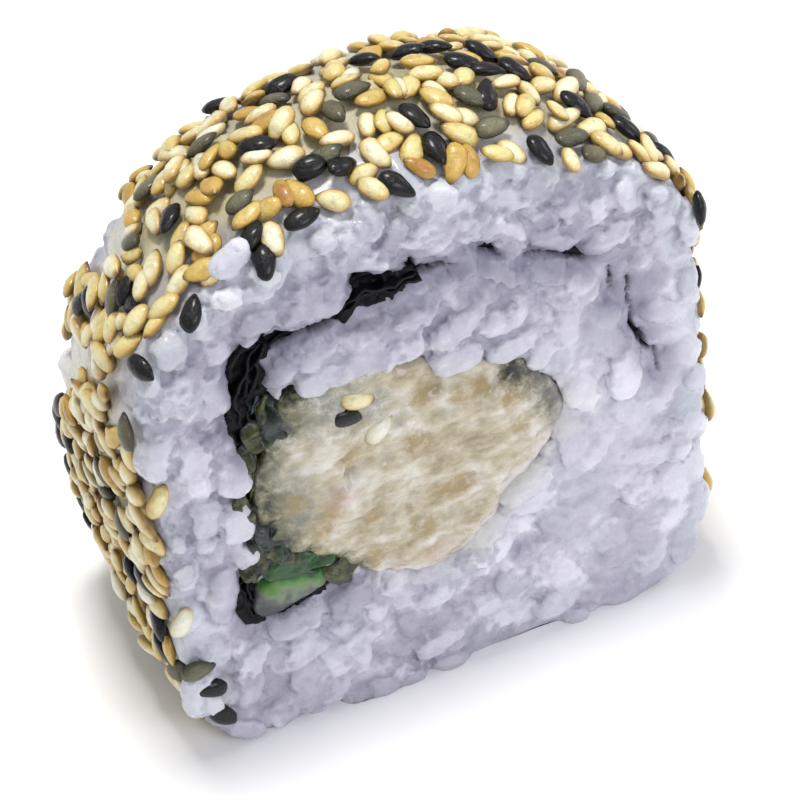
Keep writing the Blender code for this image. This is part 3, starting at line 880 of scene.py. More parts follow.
channel_set = bpy.data.collections.new("channels")
bpy.context.scene.collection.children.link(channel_set)
for number, solid in enumerate(channels):
    cutter = mesh_object(f"channel_{number}", *solid)
    bpy.context.scene.collection.objects.unlink(cutter)
    channel_set.objects.link(cutter)
cut = block.modifiers.new("channels", "BOOLEAN")
cut.operation = "DIFFERENCE"
cut.operand_type = "COLLECTION"
cut.collection = channel_set
cut.solver = "MANIFOLD"
apply_modifiers(block)
for cutter in list(channel_set.objects):
    bpy.data.objects.remove(cutter, do_unlink=True)
bpy.data.collections.remove(channel_set)
print("block with", len(channels), "channels:", len(block.data.polygons), "faces")

# %% [markdown]
# ### One skin over all of it
#
# The voxel size sets the finest hollow between two grains: 0.23 mm is under three pixels of the
# photograph. The remeshed skin is then thinned to stay under 200,000 triangles, which takes points
# from the smooth backs of the grains and leaves them in the hollows.

# %% Remesh the rice
RICE_VOXEL, RICE_TRIANGLES = 0.23 * MM, 196000


def largest_island(mesh):
    """Removes the scraps that float free of the biggest piece."""
    shape = bmesh.new()
    shape.from_mesh(mesh)
    seen, best = set(), []
    for start in shape.verts:
        if start in seen:
            continue
        island, front = [start], [start]
        seen.add(start)
        while front:
            point = front.pop()
            for edge in point.link_edges:
                other = edge.other_vert(point)
                if other not in seen:
                    seen.add(other)
                    island.append(other)
                    front.append(other)
        if len(island) > len(best):
            best = island
    keep = set(best)
    scraps = [v for v in shape.verts if v not in keep]
    bmesh.ops.delete(shape, geom=scraps, context="VERTS")
    shape.to_mesh(mesh)
    shape.free()
    return len(scraps)


def remeshed(name, solids, voxel, most, may_thin=None):
    """One skin over overlapping closed solids, with at most the given number of triangles."""
    made = mesh_object(name, *together(solids))
    remesh = made.modifiers.new("remesh", "REMESH")
    remesh.mode = "VOXEL"
    remesh.voxel_size = voxel
    remesh.use_smooth_shade = True
    apply_modifiers(made)
    count = triangle_count(made.data)
    if count > most:
        thin = made.modifiers.new("thin", "DECIMATE")
        thin.ratio = most / count
        if may_thin:
            share = np.round(may_thin(points_of(made.data)), 1)
            group = made.vertex_groups.new(name="may_thin")
            for step in np.unique(share[share > 0]):
                group.add(np.flatnonzero(share == step).tolist(), float(step), "REPLACE")
            thin.vertex_group = group.name
        apply_modifiers(made)
    scraps = largest_island(made.data)
    print(name, "triangles", count, "then", triangle_count(made.data), "scraps", scraps)
    return made


def solid_of(made):
    """Points and triangles of an object, in the roll's own measures."""
    mesh = made.data
    mesh.calc_loop_triangles()
    faces = np.empty(len(mesh.loop_triangles) * 3, np.int32)
    mesh.loop_triangles.foreach_get("vertices", faces)
    return points_of(mesh), faces.reshape(-1, 3)


block_solid = solid_of(block)
bpy.data.objects.remove(block, do_unlink=True)


def may_thin(points):
    """The front cut keeps most of its points, and the hidden walls of the channels lose most."""
    share = 0.25 + 0.75 * smoothstep(0.7, 1.6, points[:, 1] - FRONT)
    back = back_of(points[:, 0], points[:, 2]) - points[:, 1]
    return np.where(back < 1.0, 0.6, share)


rice = remeshed(
    "rice_dressed", [block_solid] + front_grains + back_grains + skin_grains + proud, RICE_VOXEL,
    RICE_TRIANGLES, may_thin,
)
rice.vertex_groups.clear()

# %% Neighbours and nearest spots
def neighbours_mean(mesh, values, rounds):
    """Each point's value averaged with those of its neighbours, a number of times."""
    edges = np.empty(len(mesh.edges) * 2, np.int32)
    mesh.edges.foreach_get("vertices", edges)
    a, b = edges.reshape(-1, 2).T
    count = np.bincount(np.concatenate([a, b]), minlength=len(values))[:, None]
    for _ in range(rounds):
        total = np.stack(
            [np.bincount(a, values[b, k], len(values)) + np.bincount(b, values[a, k], len(values))
            for k in range(values.shape[1])], 1,
        )
        values = total / np.maximum(count, 1)
    return values


def nearest(points, spots):
    """For each point, which of the spots lies nearest and how far off it is."""
    spots = np.asarray(spots)
    tree = KDTree(len(spots))
    for number, spot in enumerate(spots):
        tree.insert(spot, number)
    tree.balance()
    found = [tree.find(point)[1:] for point in points]
    return np.array([f[0] for f in found]), np.array([f[1] for f in found])


def on_plane(path):
    """Points of an (x, z) line on the plane of the front cut."""
    return np.stack([path[:, 0], np.full(len(path), FRONT), path[:, 1]], 1)


# %% Seams between the grains, and rice pressed by the knife
SPIKE_HIGH, SEAM_DEEP, PRESSED_FLAT = 0.45, 0.21, 0.5
points = points_of(rice.data)
normals = normals_of(rice.data)
# Thinning the mesh has left a few spikes, which go back to their neighbours.
around = neighbours_mean(rice.data, points, 1)
spike = ((points - around) * normals).sum(1) > SPIKE_HIGH
points[spike] = around[spike]
print("spikes taken down", int(spike.sum()))
points += normals * (0.08 * noise(points, 1.2, 1) + 0.04 * noise(points, 0.5, 2))[:, None]

# A seam runs where one grain meets the next: there the mean of random marks over a point's
# neighbours differs from its own.
grain_spots = np.concatenate(grain_places)
own_grain = nearest(points, grain_spots)[0] // len(GRAIN_BALL)
marks = np.random.default_rng(4).uniform(-1, 1, (len(grain_places), 4))[own_grain]
seam = np.abs(neighbours_mean(rice.data, marks, 1) - marks).sum(1)
seam = smoothstep(0.15, 1.0, neighbours_mean(rice.data, seam[:, None], 1)[:, 0])
# The knife has pressed the rice smoother at the right and low down than over the sheet.
wander = 2 * noise(points, 4.0, 14)
at_right = smoothstep(5, 12, points[:, 0] + wander) * smoothstep(35, 31, points[:, 2] + wander)
pressed = np.maximum(at_right, 0.45 * smoothstep(13, 8, points[:, 2] + wander))
first_proud = len(front_grains) + len(back_grains)
stands_proud = (own_grain >= first_proud) & (own_grain < first_proud + len(proud))
pressed = np.where(stands_proud, 0.3, 1.0) * pressed
pressed = pressed * (1 - smoothstep(1.2, 2.6, points[:, 1] - FRONT))
seam = seam * (1 - 0.5 * pressed)
points -= normals * (SEAM_DEEP * seam * (1 + 0.5 * noise(points, 2.2, 12)))[:, None]
points[:, 1] += PRESSED_FLAT * pressed * (FRONT - 0.1 - points[:, 1])

# %% Broken faces
# Each cell a millimetre and a half across has a height and a slope of its own.
CELLS, CELL_RISE, CELL_SLOPE, LUMP_HIGH = 5200, 0.05, 0.08, 0.3
cell_rng = np.random.default_rng(8)
cell_middle = points[cell_rng.choice(len(points), CELLS, replace=False)]
cell_middle = cell_middle + 0.3 * cell_rng.normal(size=(CELLS, 3))
cell_slope = cell_rng.normal(size=(CELLS, 3))
cell_height = cell_rng.uniform(-1, 1, CELLS)
cell, _ = nearest(points, cell_middle)
from_cut = np.minimum(points[:, 1] - FRONT, back_of(points[:, 0], points[:, 2]) - points[:, 1])
broken = (0.35 + 0.65 * (1 - smoothstep(0.8, 2.5, from_cut))) * (1 - 0.5 * pressed)
slope_rise = ((points - cell_middle[cell]) * cell_slope[cell]).sum(1)
# Away from the knife the grains keep their round backs, and so the skin is lumpier.
lump = LUMP_HIGH * noise(points, 1.4, 27) * smoothstep(1.0, 3.0, from_cut)
points += normals * lump[:, None]
points += normals * (broken * (CELL_RISE * cell_height[cell] + CELL_SLOPE * slope_rise))[:, None]

# %% Gaps, and a flat foot
# The rice steps down towards each gap of the front cut, and falls away into it.
VALLEY_DEEP, VALLEY_WIDE, RICE_FACE_OUT, PROUD_LEFT = 0.65, 1.25, 0.55, 0.35
flat_points = points * (1, 0, 1) + (0, FRONT, 0)
open_at, open_away = nearest(flat_points, on_plane(open_points))
open_away = open_away - open_half[open_at] * (1 + 0.5 * noise(flat_points, 0.9, 22))
front_part = 1 - smoothstep(1.2, 3.2, points[:, 1] - FRONT)
valley = VALLEY_DEEP * np.exp(-((np.clip(open_away, 0, None) / VALLEY_WIDE) ** 2))
valley *= 1 + 0.6 * noise(points, 1.7, 23)
gap = (1.5 + 1.7 * open_half[open_at]) * (1 - smoothstep(-0.1, 0.16, open_away))
points[:, 1] += front_part * np.maximum(valley, gap)
# The knife leaves the proudest grains nearly level with each other.
above = FRONT - RICE_FACE_OUT - points[:, 1]
points[:, 1] = np.where(above > 0, FRONT - RICE_FACE_OUT - PROUD_LEFT * above, points[:, 1])
points[:, 2] = np.maximum(points[:, 2], BASE_TRIM)
set_points(rice.data, points)
normals = normals_of(rice.data)
hollow = ((neighbours_mean(rice.data, points, 9) - points) * normals).sum(1)
print("hollows in mm", np.percentile(hollow, (5, 50, 95, 99)).round(2))

# %% Numbers that the rice finish reads
# `hollow` and `seam` mark where the finish paints shade into the hollows and the seams between grains.
store(rice.data, "hollow", smoothstep(0.05, 0.34, hollow) * (1 - 0.3 * pressed))
tones = neighbours_mean(rice.data, np.array(grain_tones)[own_grain][:, None], 1)[:, 0]
# The left wall and the foot of the cut lie further from the light, and are painted darker as
# shade; so is a band along the top of the front cut.
at_left = smoothstep(0, -16, points[:, 0])
painted_shade = 0.1 * at_left + (0.04 + 0.12 * at_left) * smoothstep(13, 6, points[:, 2])
painted_shade = painted_shade + 0.1 * smoothstep(32, 36, points[:, 2]) * (points[:, 1] < FRONT + 2)
# Pressed rice gets an evener tone and is painted lighter: a painted light for the brighter right of the cut.
tones = tones * (1 - 0.3 * pressed) + 0.2 * pressed - painted_shade
store(rice.data, "tone", tones - 0.02 + 0.1 * (1 - 0.6 * pressed) * cell_height[cell])
store(rice.data, "seam", seam * np.clip(0.7 + 0.6 * noise(points, 2.5, 13), 0, 1))
_, from_skin = nearest(flat_points, on_plane(cut_edge[0]))
facing_cut = np.maximum(smoothstep(0.05, 0.75, np.abs(normals[:, 1])), smoothstep(0.7, 1.6, from_skin))
on_a_cut = (1 - smoothstep(0.9, 3.0, from_cut)) * facing_cut
# Round the front rim the skin is bare of seeds and looks as fresh as the cut.
from_rim = points[:, 1] - FRONT + 1.6 * noise(points, 2.6, 26)
on_a_cut = np.maximum(on_a_cut, 0.85 * smoothstep(5.0, 2.4, from_rim))
store(rice.data, "cut", on_a_cut)
# Over the sheet the thin rice is painted grey, partly the dark sheet seen through it and partly
# painted shade by the gaps, and towards the skin it is cool, bluish and wet.
deep = np.exp(-((np.clip(open_away, 0, None) / 1.6) ** 2)) * (1 + 0.5 * noise(points, 1.4, 24))
store(rice.data, "deep", front_part * np.clip(deep, 0, 1))
from_skin = from_skin + 1.3 * noise(points, 2.4, 25)
store(rice.data, "outer", (1 - smoothstep(0.6, 3.6, from_skin)) * on_a_cut * smoothstep(3, 7, points[:, 2]))
# Painted shadow: the walls deep inside the gaps of the front cut are painted nearly black.
store(rice.data, "crack_shade", (1 - smoothstep(0.0, 0.3, open_away)) * smoothstep(0.9, 1.8, points[:, 1] - FRONT))
# Near the lower right of the salad the knife has smeared dressing over the rice.
share = filling_share(points[:, 0], points[:, 2])
low_right = low_right_of_salad(points, 45, 0.9)
smear = (1 - smoothstep(0.98, 1.2, share + 0.1 * noise(points, 1.5, 5))) * (0.2 + 0.5 * low_right)
store(rice.data, "smear", smear * (1 - smoothstep(0.5, 2.5, from_cut)))

# %% [markdown]
# ### Cooked rice as a material
#
# Cooked rice is starch and water: white, wet and a little see-through. Light goes in, scatters
# over about a millimetre and comes out again, which softens every grain and lets the hollows
# between grains glow in a cool lavender grey instead of black. On top of that the hollows and the
# seams between grains are painted darker, as painted shade. A fresh cut looks cooler than the
# outside, where starch dries to a warmer white. The wet film is a thin clear coat.

# %% Rice finish
def rice_material():
    made, tree, place = new_material("cooked_short_grain_rice")
    names = ("cut", "hollow", "seam", "tone", "smear", "deep", "outer", "crack_shade", "yellow_near_seeds")
    share = {name: add_node(tree, "Attribute", output="Fac", attribute_name=name) for name in names}
    # Each grain has its own tone, from glassy and grey to opaque and white, broken up by cloudy
    # patches a millimetre or two across.
    patches = cloudy(tree, place, 1.6, 4.0, 0.6, (0.3, 0.7), (-0.14, 0.14))
    tone = add_node(tree, "Math", {0: share["tone"], 1: patches}, operation="ADD")
    dried_stops = ((0.0, "#bebdae"), (0.5, "#d3d1c4"), (1.0, "#e6e5dc"))
    fresh_stops = ((0.0, "#a3a1b0"), (0.35, "#bbb9c7"), (0.65, "#cfcdd9"), (1.0, "#e5e3ec"))
    dried = add_node(tree, "ValToRGB", {"Fac": tone}, dried_stops)
    fresh = add_node(tree, "ValToRGB", {"Fac": tone}, fresh_stops)
    weaker = {
        name: add_node(tree, "Math", {0: share[name], 1: most}, operation="MULTIPLY")
        for name, most in (("yellow_near_seeds", 0.6), ("outer", 0.42), ("deep", 0.72))
    }
    # Painted shade: the hollows and seams between grains are darkened, to a warm grey on the skin and a
    # lavender grey on the cut.
    low = add_node(tree, "Math", {0: share["hollow"], 1: share["seam"]}, operation="MAXIMUM")
    low = add_node(tree, "Math", {0: low, 1: 0.55}, operation="MULTIPLY")
    dry_painted_shade = {"Fac": weaker["yellow_near_seeds"], "Color1": "#a8a593", "Color2": "#b39c5c"}
    dry_painted_shade = add_node(tree, "MixRGB", dry_painted_shade)
    painted_shade_colour = add_node(tree, "MixRGB", {"Fac": share["cut"], "Color1": dry_painted_shade, "Color2": "#8b889d"})
    # Colours laid over one another: the skin near the seeds is a clear yellow, the cut is fresher,
    # some patches are glassy, the rice is cool at its edge, and over the sheet it is grey, partly the
    # dark sheet seen through thin rice and partly painted shade. Last come the painted shade of the
    # hollows and seams, and the walls inside the gaps, painted nearly black as shadow.
    colour = dried
    for over_share, over in (
        (weaker["yellow_near_seeds"], "#d3c68f"),
        (share["cut"], fresh),
        (cloudy(tree, place, 7.0, 2.0, 0.5, (0.5, 0.72), (0.0, 0.32)), "#b4c0ca"),
        (weaker["outer"], "#ced6da"),
        (weaker["deep"], "#908da1"),
        (share["smear"], "#c9cac2"),
        (low, painted_shade_colour),
        (share["crack_shade"], "#23222a"),
    ):
        colour = add_node(tree, "MixRGB", {"Fac": over_share, "Color1": colour, "Color2": over})
    finish_material(
        tree,
        {
            "Base Color": colour,
            "Roughness": cloudy(tree, place, 1.1, 3.0, 0.5, (0.3, 0.7), (0.2, 0.55)),
            "IOR": 1.38,
            "Subsurface Weight": 0.15,
            "Subsurface Radius": (1.0, 0.9, 0.85),
            "Subsurface Scale": 0.7 * MM,
            "Coat Weight": 0.5,
            "Coat Roughness": 0.1,
            "Coat IOR": 1.33,
            # Starch film: ripples of about half a millimetre, and a grain of a fifth over them.
            "Normal": relief(tree, place, (0.6, 3.0, 0.6, 0.55, 0.2), (0.2, 3.0, 0.7, 0.6, 0.1)),
        },
    )
    return made


rice.data.materials.append(rice_material())
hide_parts("rice")
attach(rice, "root")

# %% [markdown]
# ## Sesame seeds
#
# The skin is rolled in a mix of seeds: most are pale to golden, some are toasted darker, some
# are olive ones in their hulls and about one in eight is black. A sesame seed is a flat drop,
# 3 mm long, with a narrow tip that is browner than its body. Each seed is a small mesh here, because
# seeds lie at all angles over and under each other, which no painted pattern can show.
#
# The seeds are thrown onto the skin one at a time and stay where they clear those already there.
# A second layer fills in over them and a few lie loose on top. The black and olive seeds that can
# be picked out in the photograph are put where they are seen.

# %% A seed's shape
SEED_SIZE = np.array((3.0, 1.72, 1.05))
SEED_BALL, SEED_FACES = ball(12, 9)


def seed_solid(centre, axes, scale, plump=1.0):
    """A flat drop with its narrow end along the first axis, dented as it dried."""
    x, y, z = SEED_BALL.T
    width = (1 - 0.2 * x) * (1 - 0.14 * smoothstep(0.6, 1.0, x))
    local = np.stack([x, y * width, power(z, 1.1) * width * plump - 0.1 * x**2], 1)
    local = local * SEED_SIZE * scale / 2
    points = local @ axes + centre
    dents = 1 + 0.12 * noise(local + centre * 3.1, 0.75, 9)
    points = centre + (points - centre) * dents[:, None]
    # No seed reaches below the board that the roll stands on.
    points[:, 2] += max(0.0, BASE_TRIM - points[:, 2].min())
    return points, SEED_FACES


# Pixel in the photograph and direction in degrees of each seed that stands out.
BLACK_SEEN = (
    (365, 65, -50), (409, 57, -20), (433, 53, -35), (481, 57, -45), (486, 75, -8),
    (514, 76, -35), (486, 98, 80), (461, 67, -18), (437, 151, -75), (413, 122, -50),
    (397, 186, -25), (300, 220, 35), (269, 266, -80), (255, 237, 70), (174, 220, -70),
    (260, 148, 5), (223, 108, 10), (285, 92, 40), (341, 170, 40), (313, 171, 25),
    (196, 315, 85), (88, 302, 15), (541, 155, -60), (575, 110, -35), (624, 135, -40),
    (661, 158, -35), (690, 212, -65), (38, 418, -65), (57, 432, 60), (76, 434, 75),
    (98, 520, -60), (144, 368, -30), (67, 470, -80), (86, 500, -50), (150, 578, 5),
    (137, 566, -45), (169, 645, 75), (164, 622, -60),
)
OLIVE_SEEN = (
    (335, 118, -55), (488, 130, 28), (568, 141, 30), (591, 157, 40), (325, 158, 25),
    (541, 73, -20), (118, 300, 60), (205, 150, 25), (470, 100, -30), (352, 96, 40),
    (110, 470, 60), (132, 430, 80), (612, 118, -30), (240, 205, 40), (155, 190, 70),
)
# Where rice shows between the seeds: pixel and radius.
BARE_SEEN = (
    (68, 358, 28), (60, 384, 20), (232, 128, 14), (300, 150, 15), (320, 76, 14), (345, 60, 13),
    (113, 204, 20), (108, 224, 22), (108, 244, 20), (104, 262, 16), (235, 258, 24),
    (152, 238, 14), (166, 200, 14), (355, 195, 14), (190, 272, 11), (118, 412, 18), (404, 72, 12),
    (30, 470, 12), (545, 104, 10), (130, 376, 24), (146, 350, 15), (150, 440, 14), (128, 505, 13),
    (137, 532, 11), (205, 288, 12), (222, 258, 14),
)

# %% Throwing the seeds
seed_rng = np.random.default_rng(19)
SEED_REACH = 0.86
taken = np.zeros((0, 3))
seeds = {"black": [], "olive": [], "white": [], "golden": []}
own_numbers = {kind: [] for kind in seeds}


def add_seed(kind, centre, axes, scale, plump=1.0):
    seeds[kind].append(seed_solid(centre, axes, scale, plump))
    own_numbers[kind].append(seed_rng.random())


def discs(centre, along):
    return np.array([centre + along * k * SEED_REACH for k in (-1, 0, 1)])


def seed_at(row, column, direction, lift):
    """Middle and axes of a seed on the skin, leaning a little as it rests on its neighbours."""
    normal = skin_normals[row, column] + 0.17 * seed_rng.normal(size=3)
    axes = frame_of(normal, direction)
    return skin_points[row, column] + skin_normals[row, column] * lift, axes


for kind, seen in (("black", BLACK_SEEN), ("olive", OLIVE_SEEN)):
    for px, py, degrees in seen:
        row, column = on_skin(px, py)
        centre, axes = seed_at(row, column, way_in_photo(degrees), 0.5)
        add_seed(kind, centre, axes, seed_rng.uniform(0.94, 1.06))
        taken = np.concatenate([taken, discs(centre, axes[0])])
bare = np.zeros(skin_seen.shape, bool)
for px, py, radius in BARE_SEEN:
    bare |= np.hypot(skin_in_photo[..., 0] - px, skin_in_photo[..., 1] - py) < radius
bare &= skin_normals @ back_axis > -0.1
placed_discs = taken
rim_noise = noise(skin_points.reshape(-1, 3), 4.0, 7).reshape(skin_seen.shape)
patch_noise = noise(skin_points.reshape(-1, 3), 4.5, 8).reshape(skin_seen.shape)


def kind_of(seen):
    """Which seed lands here: the black ones in view are already in place."""
    chance = seed_rng.random()
    black = 0.01 if seen else 0.14
    if chance < black:
        return "black"
    if chance < black + (0.025 if seen else 0.07):
        return "olive"
    if chance > 0.975:
        return "white"
    return "golden"


def seed_fits(row, column, bare_above):
    """True where seeds stick: off the rims, the foot and the bare patches."""
    place = skin_points[row, column]
    # How many mm the seeds keep off the front rim: more on the left wall, most low on the right.
    band = 1.1
    if place[0] < LEFT_WALL:
        band = 1.9
    elif place[0] > 17 and place[2] < 35:
        band = 3.6
    from_front = (place[1] - FRONT) - band * (1 + 0.9 * rim_noise[row, column])
    from_back = back_of(place[0], place[2]) - place[1] - (0.8 + 0.8 * rim_noise[row, column])
    if min(from_front, from_back) < 0 or place[2] < 1.4 or bare[row, column]:
        return False
    return patch_noise[row, column] < bare_above


def nearest_disc(three, others):
    if not len(others):
        return 9.0
    return np.linalg.norm(others[None] - three[:, None], axis=2).min()


# Tries, lift over the skin in mm, least distance to seeds of this layer and of the one below it,
# and the noise value above which a patch stays bare.
LAYERS = (
    (30000, 0.1, 1.2, 0.0, 0.7),
    (12000, 0.36, 1.25, 0.6, 0.62),
    (500, 0.7, 2.4, 0.0, 0.3),
)
below = np.zeros((0, 3))
for tries, lift, clear_by, clear_below, bare_above in LAYERS:
    for _ in range(tries):
        row, column = skin_place(seed_rng, 0.0, 1.0)
        if not seed_fits(row, column, bare_above):
            continue
        lifted = lift + 0.1 * seed_rng.random()
        centre, axes = seed_at(row, column, seed_rng.normal(size=3), lifted)
        three = discs(centre, axes[0])
        if nearest_disc(three, taken) < clear_by or nearest_disc(three, below) < clear_below:
            continue
        if nearest_disc(three, placed_discs) < 0.95:
            continue
        taken = np.concatenate([taken, three])
        kind = kind_of(skin_seen[row, column])
        add_seed(kind, centre, axes, seed_rng.uniform(0.84, 1.08), seed_rng.uniform(0.85, 1.15))
    below = np.concatenate([below, taken])
    taken = np.zeros((0, 3))
print("seeds on the skin", {kind: len(found) for kind, found in seeds.items()})
_, from_seed = nearest(points_of(rice.data), [solid[0].mean(0) for kind in seeds for solid in seeds[kind]])
# The skin near the seeds, away from the cuts, is painted a clear yellow.
yellow_near_seeds = (1 - smoothstep(1.0, 2.3, from_seed)) * smoothstep(2.0, 5.0, from_cut)
store(rice.data, "yellow_near_seeds", yellow_near_seeds)

# %% Seeds on the rim and on the front cut
# Kind, pixel in the photograph and direction in degrees.
RIM_SEEDS = (
    ("golden", 157, 498, 80),
    ("golden", 156, 541, -75),
    ("white", 181, 620, 80),
    ("golden", 158, 615, 80),
    ("olive", 180, 665, 60),
    ("black", 210, 686, 178),
    ("black", 222, 712, -40),
    ("olive", 196, 668, 10),
)
for kind, px, py, degrees in RIM_SEEDS:
    x, z = on_cut(px, py)
    row, column = on_skin(px, py)
    if in_rice(x, z, 0, 0.0, 0.0):
        centre, normal = np.array((x, FRONT - 0.35, z)), np.array((0.0, -1.0, 0.15))
    else:
        normal = skin_normals[row, column] + np.array((0.0, -0.7, 0.0))
        centre = skin_points[row, column] + normal * 0.3
    add_seed(kind, centre, frame_of(normal, way_in_photo(degrees)), 1.0)

# %% [markdown]
# ### Seed finishes
#
# A seed's skin is thin, hard and oily, so it has small sharp highlights over a satin body. Golden
# seeds pass a little light. The tip and the rim toast first and turn brown. `along` runs from the
# blunt end at 0 to the tip at 1, and `own` is one random number for each seed, which picks its tone.
# The rim's amber and brown are laid from the seed's top down over its underside, so they are partly
# the toasted rim and partly painted shade.

# %% Seed meshes
def seed_material(name, tones, edge, tip, tip_from, through, roughness, wet=0.4, rough_skin=0.09):
    """Tones are stops over `own`; the tip colour comes in from `tip_from` along the seed."""
    made, tree, place = new_material(name)
    own, along, rim = (
        add_node(tree, "Attribute", output="Fac", attribute_name=part) for part in ("own", "along", "rim")
    )
    colour = add_node(tree, "ValToRGB", {"Fac": own}, tones)
    brown_patches = cloudy(tree, place, 0.8, 4.0, 0.6, (0.5, 0.8), (0.0, 0.5))
    colour = add_node(tree, "MixRGB", {"Fac": brown_patches, "Color1": colour, "Color2": tip})
    # The rim is tinted, with a thin brown line at its very edge, and the tip is toasted. The rim tint
    # grows towards the seed's underside, so it is partly painted shade.
    for value, start, end, most, over in (
        (rim, 0.08, 0.62, 0.8, edge),
        (rim, 0.6, 1.0, 0.55, tip),
        (along, tip_from, 0.99, 0.95, tip),
    ):
        span = {"From Min": start, "From Max": end, "To Min": 0.0, "To Max": most}
        share = add_node(tree, "MapRange", {"Value": value, **span})
        colour = add_node(tree, "MixRGB", {"Fac": share, "Color1": colour, "Color2": over})
    # Hull texture: dents of half a millimetre, and fine ridges a fifth of one apart over them.
    dents, ridges = (0.55, 3.0, 0.6, 0.8, 1.6 * rough_skin), (0.2, 3.0, 0.6, 0.8, rough_skin)
    finish_material(
        tree, {"Base Color": colour, "Roughness": roughness, "IOR": 1.47 if through > 0 else 1.3,
        "Subsurface Weight": through, "Subsurface Radius": (1.0, 0.85, 0.4),
        "Subsurface Scale": 0.5 * MM, "Coat Weight": wet, "Coat Roughness": 0.16,
        "Normal": relief(tree, place, dents, ridges)},
    )
    return made


GOLDEN_TONES = (
    (0.0, "#edebd0"), (0.35, "#e5dfb1"), (0.75, "#d9ca88"), (0.93, "#c9a858"), (1.0, "#a06c2b"),
)
OLIVE_TONES = ((0.0, "#57563f"), (0.6, "#7a765a"), (1.0, "#4a4329"))
BLACK_TONES = ((0.0, "#08090c"), (1.0, "#131115"))
WHITE_TONES = ((0.0, "#ecebdd"), (1.0, "#e0ddc9"))
# Name, tones, edge, tip, where the tip starts, light let through, roughness, wet film, rough skin.
SEED_LOOKS = {
    "golden": ("hulled_sesame_golden", GOLDEN_TONES, "#c39c3a", "#54340f", 0.84, 0.3, 0.3),
    "olive": ("sesame_olive_hull", OLIVE_TONES, "#3d3a25", "#221c12", 0.76, 0.1, 0.42, 0.25, 0.16),
    "black": ("black_sesame", BLACK_TONES, "#070708", "#060607", 0.7, 0.0, 0.24, 0.3, 0.12),
    "white": ("hulled_sesame_white", WHITE_TONES, "#d2cba0", "#a58d53", 0.86, 0.35, 0.32),
}
SEED_FINISHES = {kind: seed_material(*look) for kind, look in SEED_LOOKS.items()}


def seed_piece(name, kind, solids, owns):
    made = mesh_object(name, *together(solids))
    along = (SEED_BALL[:, 0] + 1) / 2
    store(made.data, "along", np.tile(along, len(solids)))
    store(made.data, "own", np.repeat(owns, len(SEED_BALL)))
    # `rim` is 0 at the top of the seed and 1 over its underside: partly the toasted rim, partly painted
    # shade.
    store(made.data, "rim", np.tile(1 - np.clip(SEED_BALL[:, 2], 0, 1), len(solids)))
    made.data.materials.append(SEED_FINISHES[kind])
    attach(made, "root")
    print(name, len(solids), "seeds", triangle_count(made.data), "triangles")
    return made


for kind, solids in seeds.items():
    made = seed_piece(f"sesame_{kind}", kind, solids, own_numbers[kind])
    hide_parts("rice")

# %% [markdown]
# ## Nori
#
# Nori is dried, pressed seaweed, a quarter of a millimetre thick. Rolled in damp rice it swells,
# crinkles and goes from dark green to nearly black, with a purple or green gleam where wet. It is
# a crinkled sheet here, ragged at both cuts. Down the left side it is folded double, and so a
# second layer lies inside the first one there and in the lower left corner.

# %% Crinkled sheets
EDGE_STEPS = np.array((0.0, 0.12, 0.3, 0.55, 0.85, 1.2, 1.6, 2.1, 2.8))


def slab(first, second, columns):
    """A closed slab between two grids of points with the same number of columns."""
    m = len(first)
    levels = m // columns
    k, i = np.meshgrid(np.arange(levels - 1), np.arange(columns - 1), indexing="ij")
    a, b = (k * columns + i).ravel(), (k * columns + i + 1).ravel()
    c, d = b + columns, a + columns
    faces = [np.stack([a, b, c, d], 1), np.stack([a, d, c, b], 1) + m]
    rim = np.concatenate(
        [np.arange(columns), np.arange(2 * columns - 1, m, columns),
        np.arange(m - 2, m - columns - 1, -1), np.arange(m - 2 * columns, 0, -columns)]
    )
    after = np.roll(rim, -1)
    faces.append(np.stack([after, rim, rim + m, after + m], 1))
    return np.concatenate([first, second]), np.concatenate(faces)


def sheet(path, normal, half, low, high, crumple):
    """A closed sheet along a path: `crumple` moves its points along the path's normal."""
    steps = np.concatenate([EDGE_STEPS, [3.5]])
    rows = [low + step for step in steps] + [high - step for step in steps[::-1]]
    levels, n = len(rows), len(path)
    y = np.array(rows)
    x = np.broadcast_to(path[:, 0], (levels, n))
    z = np.broadcast_to(path[:, 1], (levels, n))
    flat = np.stack([x, y, z], -1).reshape(-1, 3)
    out = np.broadcast_to(np.stack([normal[:, 0], 0 * normal[:, 0], normal[:, 1]], 1), (levels, n, 3))
    out = out.reshape(-1, 3)
    wave = crumple(flat)[:, None]
    thick = np.tile(np.broadcast_to(half, n), levels)[:, None]
    return slab(flat + out * (wave + thick), flat + out * (wave - thick), n)


def folded(line, half, recess, folds, seed):
    """Crumpled sheet that fills a gap and turns its creased side to the cut."""
    path = even_path(line, max(6, int(np.hypot(*np.diff(line, axis=0).T).sum() / 0.16)))[0]
    half = np.interp(np.linspace(0, 1, len(path)), np.linspace(0, 1, len(half)), half)
    slope = np.gradient(path, axis=0)
    slope /= np.linalg.norm(slope, axis=1, keepdims=True)
    across = np.linspace(-1, 1, max(5, int(2 * half.max() / 0.16)))[:, None] * half
    x = path[:, 0] + across * slope[:, 1]
    z = path[:, 1] - across * slope[:, 0]
    flat = np.stack([x, np.full(x.shape, FRONT), z], -1).reshape(-1, 3)
    # Creases: noise folded at zero gives sharp valleys between rounded ridges.
    crease = 1 - 2 * np.abs(noise(flat, 1.5, seed)) + 0.5 * (1 - 2 * np.abs(noise(flat, 0.7, seed + 1)))
    flat[:, 1] += recess - folds * crease
    flat += 0.25 * np.stack([noise(flat, 0.9, seed + 2), 0 * x.ravel(), noise(flat, 0.9, seed + 3)], 1)
    return slab(flat, flat + (0, 2.2, 0), len(path))


